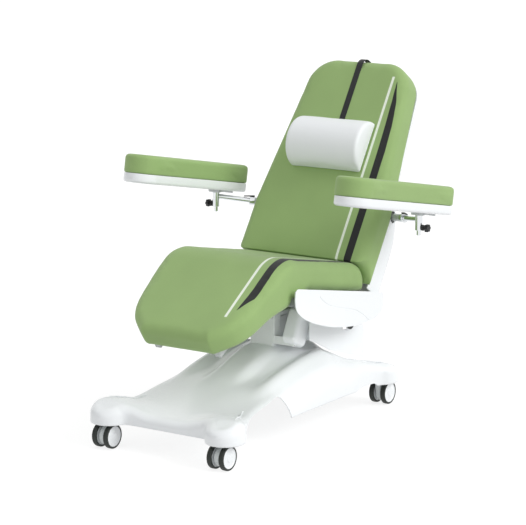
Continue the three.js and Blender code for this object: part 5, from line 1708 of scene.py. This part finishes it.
@dataclass
class Lift:
    """The column's outer tube, the shroud that rises with it, and the tilt actuator's housing."""

    column_half: float = 59.0
    column_front: float = 88.0
    column_rear: float = 218.0
    shroud_half: float = 200.0
    shroud_front: float = 150.0
    shroud_rear: float = 625.0
    shroud_low: float = 186.0
    shroud_high: float = 432.0
    shroud_corner: float = 60.0
    motor_front: float = 35.0
    motor_rear: float = 64.0
    motor_length: float = 128.0
    motor_foot: float = 24.0
    motor_x: tuple[float, float] = (107.0, 176.0)
    profile: Points = (
        (0, 0.68), (0.06, 0.64), (0.343, 0.375), (0.96, 0.01), (1, 0.16), (1, 0.34), (0.96, 0.5), (0.9, 0.64),
        (0.55, 0.66), (0.5, 0.81), (0.295, 0.88), (0, 1),
    )

    def column(self) -> None:
        """Makes the grey outer tube."""

        def section(by: float) -> list[Point]:
            """The tube's section, drawn in by a distance."""
            half, front, rear = self.column_half - by, self.column_front + by, self.column_rear - by
            return filleted([(-half, front), (half, front), (half, rear), (-half, rear)], [10 - by / 2] * 4)

        tube = Bench.prism("column_tube", section(0), world, 140.4, 440)
        Bench.boolean(tube, Bench.prism("bore", section(6), world, 130, 450), "DIFFERENCE")
        Bench.modify(tube, "BEVEL", width=1.2 * MM, segments=2, limit_method="ANGLE", angle_limit=math.radians(50))
        Bench.smooth(tube, 30)
        dress(tube, COLUMN.material(), "base", "column", "column_outer")

    def shroud(self) -> None:
        """Makes the U-shaped panel behind the column."""

        def plan(by: float, over: float) -> list[Point]:
            """The panel's outline from above, drawn in by one distance and lengthened by another."""
            x, rear, radius = self.shroud_half - by, self.shroud_rear - by, self.shroud_corner - by
            return (
                [(x, self.shroud_front - over)]
                + arc((x - radius, rear - radius), radius, 0, 90, 16)
                + arc((-x + radius, rear - radius), radius, 90, 180, 16)
                + [(-x, self.shroud_front - over)]
            )

        panel = Bench.prism("lift_shroud_panel", plan(0, 0), world, 170, 450)
        Bench.boolean(panel, Bench.prism("hollow", plan(4, 30), world, 160, 460), "DIFFERENCE")
        length = self.shroud_rear - self.shroud_front
        corners = [
            (self.shroud_front + a * length, self.shroud_low + s * (self.shroud_high - self.shroud_low))
            for a, s in self.profile
        ]
        side = filleted(corners, [4, 6, 60, 10, 14, 20, 20, 18, 24, 20, 30, 6], 5)
        Bench.boolean(panel, Bench.prism("side", side, from_side, -230, 230), "INTERSECT")
        Bench.smooth(panel, 30)
        dress(panel, WHITE.material(), "lift", "white_shell", "lift_shroud")

    def motor(self) -> None:
        """Makes the tilt actuator's rounded housing."""
        lean = math.radians(26.5)
        axis = (math.sin(lean), math.cos(lean))
        start = (170 - axis[0] * 147, 492 - axis[1] * 147)

        def at(along: float, aside: float) -> Point:
            """The (y, z) of a point along and beside the housing's axis."""
            return (start[0] + axis[0] * along + axis[1] * aside, start[1] + axis[1] * along - axis[0] * aside)

        front, rear, long, foot = self.motor_front, self.motor_rear, self.motor_length, self.motor_foot
        outline = filleted([at(-foot, rear), at(long, rear), at(long, -front), at(-foot, -front)], [30, 20, 20, 30], 10)
        if sum(a[0] * b[1] - a[1] * b[0] for a, b in zip(outline, outline[1:])) < 0:
            outline = outline[::-1]
        piece = Bench.slab(
            "tilt_motor_housing",
            lambda by: drawn_in(outline, [by] * len(outline)),
            from_side,
            rounded_levels(*self.motor_x, 18, 18, 7),
        )
        middle = sum(self.motor_x) / 2
        bore = Bench.pipe("bore", [world(middle, *at(long * 0.3, 0)), world(middle, *at(long + 20, 0))], 10.6)
        Bench.boolean(piece, bore, "DIFFERENCE")
        Bench.smooth(piece, 50)
        dress(piece, WHITE.material(), "lift", "white_shell", "tilt_actuator_housing")

    def shaft(self) -> None:
        """Makes the tilt shaft with its end caps and their bolts."""
        out, up = ACROSS, UP
        parts = [Bench.turned("shaft", [(0, -222), (15, -222), (15, 222), (0, 222)], world(0, 440, 372), out, up, 40)]
        for side in (1, -1):
            cap = [(0, 216.5), (24, 216.5), (24, 220), (22.4, 222), (13, 222), (12, 220.6), (0, 220.6)]
            parts.append(Bench.turned("cap", cap, world(0, 440, 372), out * side, up, 48))
            bolt = [(440 + 8.5 * math.cos(a), 372 + 8.5 * math.sin(a)) for a in (math.pi * i / 3 for i in range(6))]
            parts.append(Bench.prism("bolt", bolt, from_side, side * 220.6, side * 225))
        piece = Bench.join(parts, "tilt_shaft_capped")
        Bench.smooth(piece, 30)
        dress(piece, BLACK.material(), "lift", "bright_steel", "tilt_shaft")

    def build(self) -> None:
        """Makes all of the lift's dressed pieces."""
        self.column()
        self.shroud()
        self.motor()
        self.shaft()


@dataclass
class Fairing:
    """A white side cover of the seat with its S-shaped seam."""

    side: Side
    inner: float = 315.0
    outer: float = 325.0
    edge: float = 10.0
    shares: Points = (
        (0.995, -0.26), (0.965, -0.54), (0.885, -0.72), (0.8, -0.83), (0.7, -0.9), (0.6, -0.945), (0.5, -0.96),
        (0.39, -0.945), (0.296, -0.905), (0.2, -0.83), (0.106, -0.725), (0.03, -0.575), (0, -0.4), (0, -0.2),
    )
    seam: Points = (
        (0.713, -0.22), (0.655, -0.335), (0.557, -0.425), (0.412, -0.471), (0.325, -0.5), (0.249, -0.583),
        (0.153, -0.767),
    )

    def at(self, share: Point) -> Point:
        """The (y, z) of a point given as shares of the cover's length and height."""
        return SEAT.at(-189 + 677 * share[0], -119.3 + 137 * share[1])

    def build(self) -> None:
        """Makes the cover and cuts its seam."""
        lower = along_curve([self.at(p) for p in self.shares], 7)
        outline = filleted([self.at((1, 0)), *lower, self.at((0.005, 0))], [7] + [0] * len(lower) + [7], 5)
        if sum(a[0] * b[1] - a[1] * b[0] for a, b in zip(outline, outline[1:])) < 0:
            outline = outline[::-1]
        sign = self.side.value
        piece = Bench.slab(
            f"fairing_cover_{self.side.word}",
            lambda by: drawn_in(outline, [by] * len(outline)),
            lambda y, z, x: world(sign * x, y, z),
            rounded_levels(self.inner, self.outer, 0.6, self.edge, 6),
        )
        line = along_curve([self.at(p) for p in ((0.74, -0.12), *self.seam, (0.12, -0.9))], 6)
        groove = Bench.pipe("groove", [world(sign * (self.outer + 0.2), y, z) for y, z in line], 2.0, 4)
        Bench.boolean(piece, groove, "DIFFERENCE")
        Bench.smooth(piece, 35)
        dress(piece, WHITE.material(), "seat", "white_shell", f"fairing_{self.side.word}")


@dataclass
class BackShell:
    """The moulded shell behind the back, deep at the foot where it covers the drive."""

    half_width: float = 300.0
    wall: float = 4.0
    section: Points = (
        (-120, 231.6), (-55, 234.6), (-15, 237.6), (60, 237.6), (180, 231.6), (232, 215.6), (307, 187.2),
        (352, 164.6), (412, 152.6), (560, 152.6), (1050, 152.6),
    )

    def plan(self) -> list[Point]:
        """The outline seen square to the back, no wider than the fairings' inside."""
        back = BackRest()
        plan = back.plan()
        outline = [
            (min(max(x, -self.half_width), self.half_width), a) for x, a in drawn_in(plan, [12.0] * len(plan))
        ]
        kept: list[Point] = []
        for point in outline:
            if not kept or math.dist(point, kept[-1]) > 0.5:
                kept.append(point)
        return kept

    def build(self) -> None:
        """Makes the shell, opens its front and foot, and cuts the holes for the arms."""
        back = BackRest()
        side = [BACK.at(1050, 70), BACK.at(-120, 70)]
        side += [BACK.at(a, d) for a, d in along_curve(self.section, 4)]
        plan = self.plan()
        form = SoftForm(
            name="back_shell_moulding",
            side=side,
            plan=plan,
            to_side=side_of,
            to_plan=lambda p: np.stack([p[:, 0], BACK.along(p[:, 1] - SHIFT_Y, p[:, 2])], axis=1),
            side_place=from_side,
            plan_place=lambda x, a, behind: world(x, *BACK.at(a, behind)),
            half_width=self.half_width + 30,
            plan_low=-500,
            plan_high=600,
            rounding=lambda p: np.full(len(p), 16.0),
            voxel=8.0,
            swell=0.0,
            shrink=0.0,
            levels=0,
        )
        piece = form.build()
        rear = Vector((0, BACK.up[0], BACK.up[1]))
        along = Vector((0, BACK.forward[0], BACK.forward[1]))
        Bench.keep_side(piece, world(0, *BACK.at(0, back.thickness + 0.9)), rear)
        Bench.keep_side(piece, world(0, *BACK.at(-54.5, 0)), along)
        Bench.modify(piece, "SOLIDIFY", thickness=self.wall * MM, offset=-1.0, use_quality_normals=True)
        for sign in (1, -1):
            hole = Bench.turned(
                "arm_cut", [(0, -20), (25.6, -20), (25.6, 30), (0, 30)],
                world(sign * 300, 649.2, 805.9), Vector((sign, 0, 0)), UP, 48,
            )
            Bench.boolean(piece, hole, "DIFFERENCE")
        Bench.smooth(piece, 40)
        dress(piece, WHITE.material(), "back", "white_shell", "back_shell")


@dataclass
class ArmHardware:
    """The tray, bracket, post, knob, tubes and lever of an armrest."""

    side: Side
    corner: tuple[float, float, float] = (512.0, 495.0, 842.0)
    rail_end: tuple[float, float, float] = (160.0, 655.35, 805.8)
    elbow: tuple[float, float, float] = (282.0, 662.34, 802.8)
    socket: tuple[float, float] = (796.0, 861.0)
    knob_z: float = 808.0

    def point(self, place: Sequence[float]) -> Vector:
        """A drawing point on this side of the chair, in the frame."""
        return world(self.side.value * place[0], place[1], place[2])

    def tray(self) -> None:
        """Makes the white tray under the pad."""
        cushion = ArmCushion(self.side)
        levels = [(depth, inset + 3) for depth, inset in rounded_levels(0.3, cushion.tray, 12, 1.5, 6)]
        piece = Bench.slab(f"arm_tray_moulding_{self.side.word}", cushion.plan, cushion.place, levels)
        Bench.smooth(piece, 50)
        dress(piece, WHITE.material(), f"arm_rest_{self.side.word}", "white_shell", f"arm_tray_{self.side.word}")

    def bracket(self) -> None:
        """Makes the wedge between the socket and the tray, with its screws."""
        cushion = ArmCushion(self.side)
        slope = math.tan(math.radians(cushion.slope))

        def under(y: float) -> float:
            """The height of the tray's underside over a place."""
            return cushion.post[2] - (y - 495) * slope

        outline = [
            (476.3, under(476.3) - 0.3),
            (476.3, 861.3), (511, 861.3),
            (585, max(under(585) - 9, 842.0)),
            (585, under(585) - 0.3),
        ]
        x = self.side.value * 512
        parts = [Bench.prism("wedge", outline, from_side, x - 28, x + 28)]
        Bench.modify(parts[0], "BEVEL", width=1.5 * MM, segments=2, limit_method="ANGLE", angle_limit=math.radians(40))
        for y in (486, 540, 570):
            out = Vector((self.side.value, 0, 0))
            head = [(0, 27.9), (3.2, 27.9), (3.2, 29.2), (2.4, 30), (0, 30)]
            z = under(y) - 5
            parts.append(Bench.turned("screw", head, world(x, y, z), out, UP, 20))
        piece = Bench.join(parts, f"arm_bracket_wedge_{self.side.word}")
        Bench.smooth(piece, 35)
        dress(piece, GREY_TUBE.material(), f"arm_rest_{self.side.word}", "grey_tube", f"arm_bracket_{self.side.word}")

    def post(self) -> None:
        """Makes the post that slides in the socket."""
        x = self.side.value * 512
        profile = [(0, 774), (7.5, 774), (9, 776), (9, 865.6), (0, 865.6)]
        foot, up, out = world(x, 495, 0), UP, ACROSS
        piece = Bench.turned(f"arm_post_rod_{self.side.word}", profile, foot, up, out, 40)
        Bench.smooth(piece, 30)
        dress(piece, CHROME.material(), f"arm_post_{self.side.word}", "bright_steel", f"arm_post_{self.side.word}")

    def tube(self) -> None:
        """Makes the socket and the tube that goes to the back."""
        axis = (Vector(self.elbow) - Vector(self.corner)).normalized()
        end = Vector(self.corner) + axis * 230
        tube = Bench.pipe("tube", [self.point(self.corner), self.point(end)], 11, 14)
        low, high = self.socket
        profile = [(9.4, low), (14.4, low), (15.6, low + 1.2), (15.6, high - 1.2), (14.4, high), (9.4, high)]
        x = self.side.value * 512
        socket = Bench.turned("socket", profile, world(x, 495, 0), UP, ACROSS, 56)
        piece = Bench.join([socket, tube], f"arm_tube_socket_{self.side.word}")
        Bench.smooth(piece, 35)
        dress(piece, CHROME.material(), f"arm_slide_{self.side.word}", "bright_steel", f"arm_tube_{self.side.word}")

    def sleeve(self) -> None:
        """Makes the bent outer sleeve and the collar at its end."""
        corner, elbow, rail = Vector(self.corner), Vector(self.elbow), Vector(self.rail_end)
        axis = (elbow - corner).normalized()
        end = corner + axis * 150
        first = elbow + (rail - elbow).normalized() * 40
        last = elbow + (end - elbow).normalized() * 40
        curve = [first.lerp(elbow, t).lerp(elbow.lerp(last, t), t) for t in (i / 10 for i in range(11))]
        route = [self.point(p) for p in [rail, *curve, end]]
        pipe = Bench.pipe(f"arm_sleeve_bend_{self.side.word}", route, 16, 14)
        bore = Bench.pipe("bore", [self.point(end + axis * 92), self.point(end - axis * 5)], 11.4, 14)
        Bench.boolean(pipe, bore, "DIFFERENCE")
        Bench.smooth(pipe, 40)
        dress(pipe, GREY_TUBE.material(), "back", "grey_tube", f"arm_sleeve_{self.side.word}")
        way = (self.point(end + axis) - self.point(end)).normalized()
        aside = way.orthogonal().normalized()
        ring = [(16.15, 0), (16.15, 20), (18.6, 20), (19.4, 19), (19.4, -2)]
        ring += [(18.6, -3), (11.4, -3), (11.4, -0.4), (16.15, -0.4)]
        collar = Bench.turned(f"arm_collar_{self.side.word}", ring, self.point(end), way, aside, 56)
        Bench.smooth(collar, 30)
        dress(collar, CHROME.material(), "back", "bright_steel")

    def lever(self) -> None:
        """Makes the black clamp lever on the collar."""
        corner, elbow = Vector(self.corner), Vector(self.elbow)
        axis = (elbow - corner).normalized()
        seat = corner + axis * 164
        flat = Vector((-axis.x, -axis.y, 0)).normalized()
        cross = Vector((-flat.y, flat.x, 0))
        top = seat.z + 19.6

        def at(a: float, b: float, z: float) -> Vector:
            """The place of a point of the lever, along it, across it and by height."""
            return self.point(seat.xy.to_3d() + flat * a + cross * b + Vector((0, 0, z)))

        outline = arc((0, 0), 8.5, 90, 270, 10) + arc((36, 0), 5, -90, 90, 8)
        bar = Bench.slab(
            "bar", lambda by: drawn_in(outline, [by] * len(outline)), at, rounded_levels(top, top + 4, 1, 1.6, 3)
        )
        boss = Bench.turned(
            "boss", [(0, -5), (6, -5), (6, 1), (0, 1)], at(0, 0, top), UP, ACROSS, 24
        )
        piece = Bench.join([bar, boss], f"arm_lever_bar_{self.side.word}")
        Bench.tidy(piece)
        Bench.smooth(piece, 40)
        dress(piece, BLACK.material(), f"arm_lever_{self.side.word}", "black_plastic", f"arm_lever_{self.side.word}")

    def knob(self) -> None:
        """Makes the lobed clamp knob with its neck and flange."""
        sign = self.side.value
        centre = world(sign * 512, 495, self.knob_z)
        out, up = Vector((sign, 0, 0)), UP
        neck = [(0, 9.6), (5, 9.6), (5, 16.2), (11.5, 16.2), (12.5, 17.2), (12.5, 22.5)]
        neck += [(11.5, 24), (8, 25.5), (7.2, 29), (8.5, 33), (0, 33)]
        parts = [Bench.turned("neck", neck, centre, out, up, 40)]
        lobes = [
            (495 + r * math.cos(a), self.knob_z + r * math.sin(a))
            for a, r in ((t, 17 * (0.9 + 0.1 * math.cos(6 * t))) for t in (2 * math.pi * i / 72 for i in range(72)))
        ]
        parts.append(
            Bench.slab(
                "head",
                lambda by: drawn_in(lobes, [by] * len(lobes)),
                lambda y, z, x: world(sign * x, y, z),
                rounded_levels(544, 562, 2.5, 5, 5),
            )
        )
        piece = Bench.join(parts, f"arm_knob_head_{self.side.word}")
        Bench.tidy(piece)
        Bench.smooth(piece, 40)
        dress(piece, BLACK.material(), f"arm_knob_{self.side.word}", "black_plastic", f"arm_knob_{self.side.word}")

    def build(self) -> None:
        """Makes all of the armrest's hard pieces."""
        self.tray()
        self.bracket()
        self.post()
        self.tube()
        self.sleeve()
        self.lever()
        self.knob()


@dataclass
class Studio:
    """The floor, the light and the camera."""

    eye: tuple[float, float, float] = (5134.0, -7566.0, 2527.0)
    target: tuple[float, float, float] = (0.0, 100.0, 668.0)
    lens: float = 155.8
    sky: float = 0.72
    key: float = 1.55
    fill: float = 0.1
    under_seat: float = 52.0

    def build(self) -> None:
        """Sets up the floor, the world, the lamps and the camera."""
        scene = bpy.context.scene
        scene.view_settings.view_transform = "Standard"
        self.floor()
        self.world_light(scene)
        self.lamps()
        self.camera(scene)

    def floor(self) -> None:
        """A plain pale floor that shows the chair's shadow."""
        Bench.clear()
        bpy.ops.mesh.primitive_plane_add(size=60.0)
        floor = Bench.named("studio_floor")
        material = bpy.data.materials.new("floor_white")
        material.use_nodes = True
        nodes = Nodes(material.node_tree)
        shader = material.node_tree.nodes["Principled BSDF"]
        shader.inputs["Base Color"].default_value = (0.3, 0.3, 0.3, 1)
        shader.inputs["Roughness"].default_value = 0.9
        shader.inputs["Specular IOR Level"].default_value = 0.0
        path = nodes.add("LightPath")
        seen = nodes.math("MAXIMUM", path.outputs["Is Camera Ray"], path.outputs["Is Glossy Ray"])
        shader.inputs["Emission Color"].default_value = (1, 1, 1, 1)
        nodes.link(nodes.math("MULTIPLY_ADD", seen, 0.45, 0.35), shader.inputs["Emission Strength"])
        floor.data.materials.append(material)

    def world_light(self, scene: bpy.types.Scene) -> None:
        """A soft even sky, which the camera sees as white."""
        sky = bpy.data.worlds.new("studio_sky")
        scene.world = sky
        sky.use_nodes = True
        nodes = Nodes(sky.node_tree)
        back = sky.node_tree.nodes["Background"]
        path = nodes.add("LightPath")
        seen = nodes.math("MAXIMUM", path.outputs["Is Camera Ray"], path.outputs["Is Glossy Ray"])
        seen = nodes.math("MAXIMUM", seen, path.outputs["Is Transmission Ray"])
        strength = nodes.math("MULTIPLY_ADD", seen, 1.0 - self.sky, self.sky)
        way = nodes.add("VectorMath", operation="DOT_PRODUCT")
        nodes.link(nodes.add("TexCoord").outputs["Generated"], way.inputs[0])
        way.inputs[1].default_value = (-0.83, -0.56, 0.0)
        card = nodes.add("MapRange", interpolation_type="SMOOTHSTEP")
        nodes.link(way.outputs["Value"], card.inputs["Value"])
        card.inputs["From Min"].default_value = 0.72
        card.inputs["From Max"].default_value = 0.86
        shade = nodes.math("MULTIPLY", nodes.math("MULTIPLY", card.outputs[0], path.outputs["Is Glossy Ray"]), 0.9)
        nodes.link(nodes.math("MULTIPLY", strength, nodes.math("SUBTRACT", 1.0, shade)), back.inputs["Strength"])
        back.inputs["Color"].default_value = (1, 1, 1, 1)

    def lamp(self, kind: str, name: str, energy: float, place: Vector, aim: Vector) -> bpy.types.Light:
        """Adds a lamp.

        Args:
            kind: The lamp's kind.
            name: Its name.
            energy: Its strength.
            place: Where it stands.
            aim: The point that it shines at.

        Returns:
            The lamp's settings.
        """
        Bench.clear()
        bpy.ops.object.light_add(type=kind, location=place)
        lamp = bpy.context.object
        lamp.name = name
        lamp.data.energy = energy
        lamp.rotation_mode = "QUATERNION"
        lamp.rotation_quaternion = (place - aim).to_track_quat("Z", "Y")
        return lamp.data

    def lamps(self) -> None:
        """A broad key lamp from the occupant's left and above, a weak fill, and a small lamp under the seat."""
        middle = Vector((0, 0, 0))
        self.lamp("SUN", "key_lamp", self.key, Vector((0.78, 0.1, 0.5)), middle).angle = math.radians(32)
        self.lamp("SUN", "fill_lamp", self.fill, Vector((0.3, -0.85, 0.4)), middle).angle = math.radians(60)
        spot = self.lamp("SPOT", "under_seat_lamp", self.under_seat, world(1300, -1900, 380), world(90, 90, 345))
        spot.spot_size = math.radians(13)
        spot.spot_blend = 1.0
        spot.shadow_soft_size = 0.2

    def camera(self, scene: bpy.types.Scene) -> None:
        """The camera at the photograph's viewing angle."""
        Bench.clear()
        bpy.ops.object.camera_add(location=world(*self.eye))
        camera = bpy.context.object
        camera.name = "photo_camera"
        camera.rotation_mode = "QUATERNION"
        camera.rotation_quaternion = (world(*self.eye) - world(*self.target)).to_track_quat("Z", "Y")
        camera.data.lens = self.lens
        camera.data.sensor_width = 36.0
        camera.data.clip_end = 100.0
        scene.camera = camera


WHITE = Finish("white_gloss_shell", linear(240, 243, 245), 0.28, coat=0.25, mottle=0.015)
COLUMN = Finish("column_satin", linear(222, 226, 225), 0.42, metallic=0.0, mottle=0.03)
FRAME_PAINT = Finish("frame_grey_paint", linear(190, 194, 194), 0.5, mottle=0.06)
# Hinge caps: a grey darkened with painted shade of the gap under the seat, not only the caps' own colour.
HINGE_GREY_PAINTED_SHADE = Finish("hinge_dark_grey", linear(120, 125, 123), 0.45, mottle=0.06)
BRIGHT = Finish("bright_steel_plate", linear(205, 208, 210), 0.22, metallic=0.9, mottle=0.03)
CHROME = Finish("polished_chrome", linear(226, 229, 231), 0.1, metallic=1.0, mottle=0.01, spread=0.04)
CASTER_GREY = Finish("caster_light_grey", linear(214, 220, 220), 0.4, mottle=0.03)
GREY_TUBE = Finish("tube_light_grey", linear(200, 204, 205), 0.35, metallic=0.3, mottle=0.03)
BLACK = Finish("black_moulding", linear(26, 29, 30), 0.45, mottle=0.2)
TYRE = Finish("tyre_rubber", linear(34, 40, 36), 0.6, mottle=0.2, depth=0.3)
PLY = Finish("plywood_board", linear(196, 170, 128), 0.65, mottle=0.15, depth=0.3)
BOARD_CLOTH = Finish("board_cover_green", linear(142, 170, 108), 0.8, mottle=0.06, depth=0.2)
OWN = {"lift_carriage": COLUMN, "column_inner": COLUMN, "leg_board": BOARD_CLOTH, "seat_board": BOARD_CLOTH}
SLOTS = {
    "white_shell": WHITE,
    "column": COLUMN,
    "frame_steel": FRAME_PAINT,
    "bright_steel": BRIGHT,
    "grey_tube": GREY_TUBE,
    "tyre": TYRE,
    "black_plastic": BLACK,
    "board": PLY,
    "upholstery": None,
    "pillow_cover": None,
    "strap_web": None,
}


def carry_over(frame: dict) -> None:
    """Gives each of the part's own nodes the finish of its slot.
    """
    for entry in frame["record"]["subparts"]:
        finish = OWN.get(entry["node"]) or SLOTS[entry["material_slot"]] or WHITE
        mesh = frame["nodes"][entry["node"]].data
        mesh.materials.clear()
        mesh.materials.append(finish.material())


def main() -> None:
    """Builds the chair's looks in order."""
    logging.basicConfig(level=logging.INFO, format="%(message)s")
    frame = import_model()
    carry_over(frame)
    Studio().build()
    SeatAndLeg().build()
    BackRest().build()
    HeadPillow().build()
    BaseCover().build()
    Lift().build()
    BackShell().build()
    for side in Side:
        ArmCushion(side).build()
        ArmHardware(side).build()
        Fairing(side).build()
        for end in (-1, 1):
            Caster(side, end).build()
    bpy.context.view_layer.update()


if __name__ == "__main__":
    main()
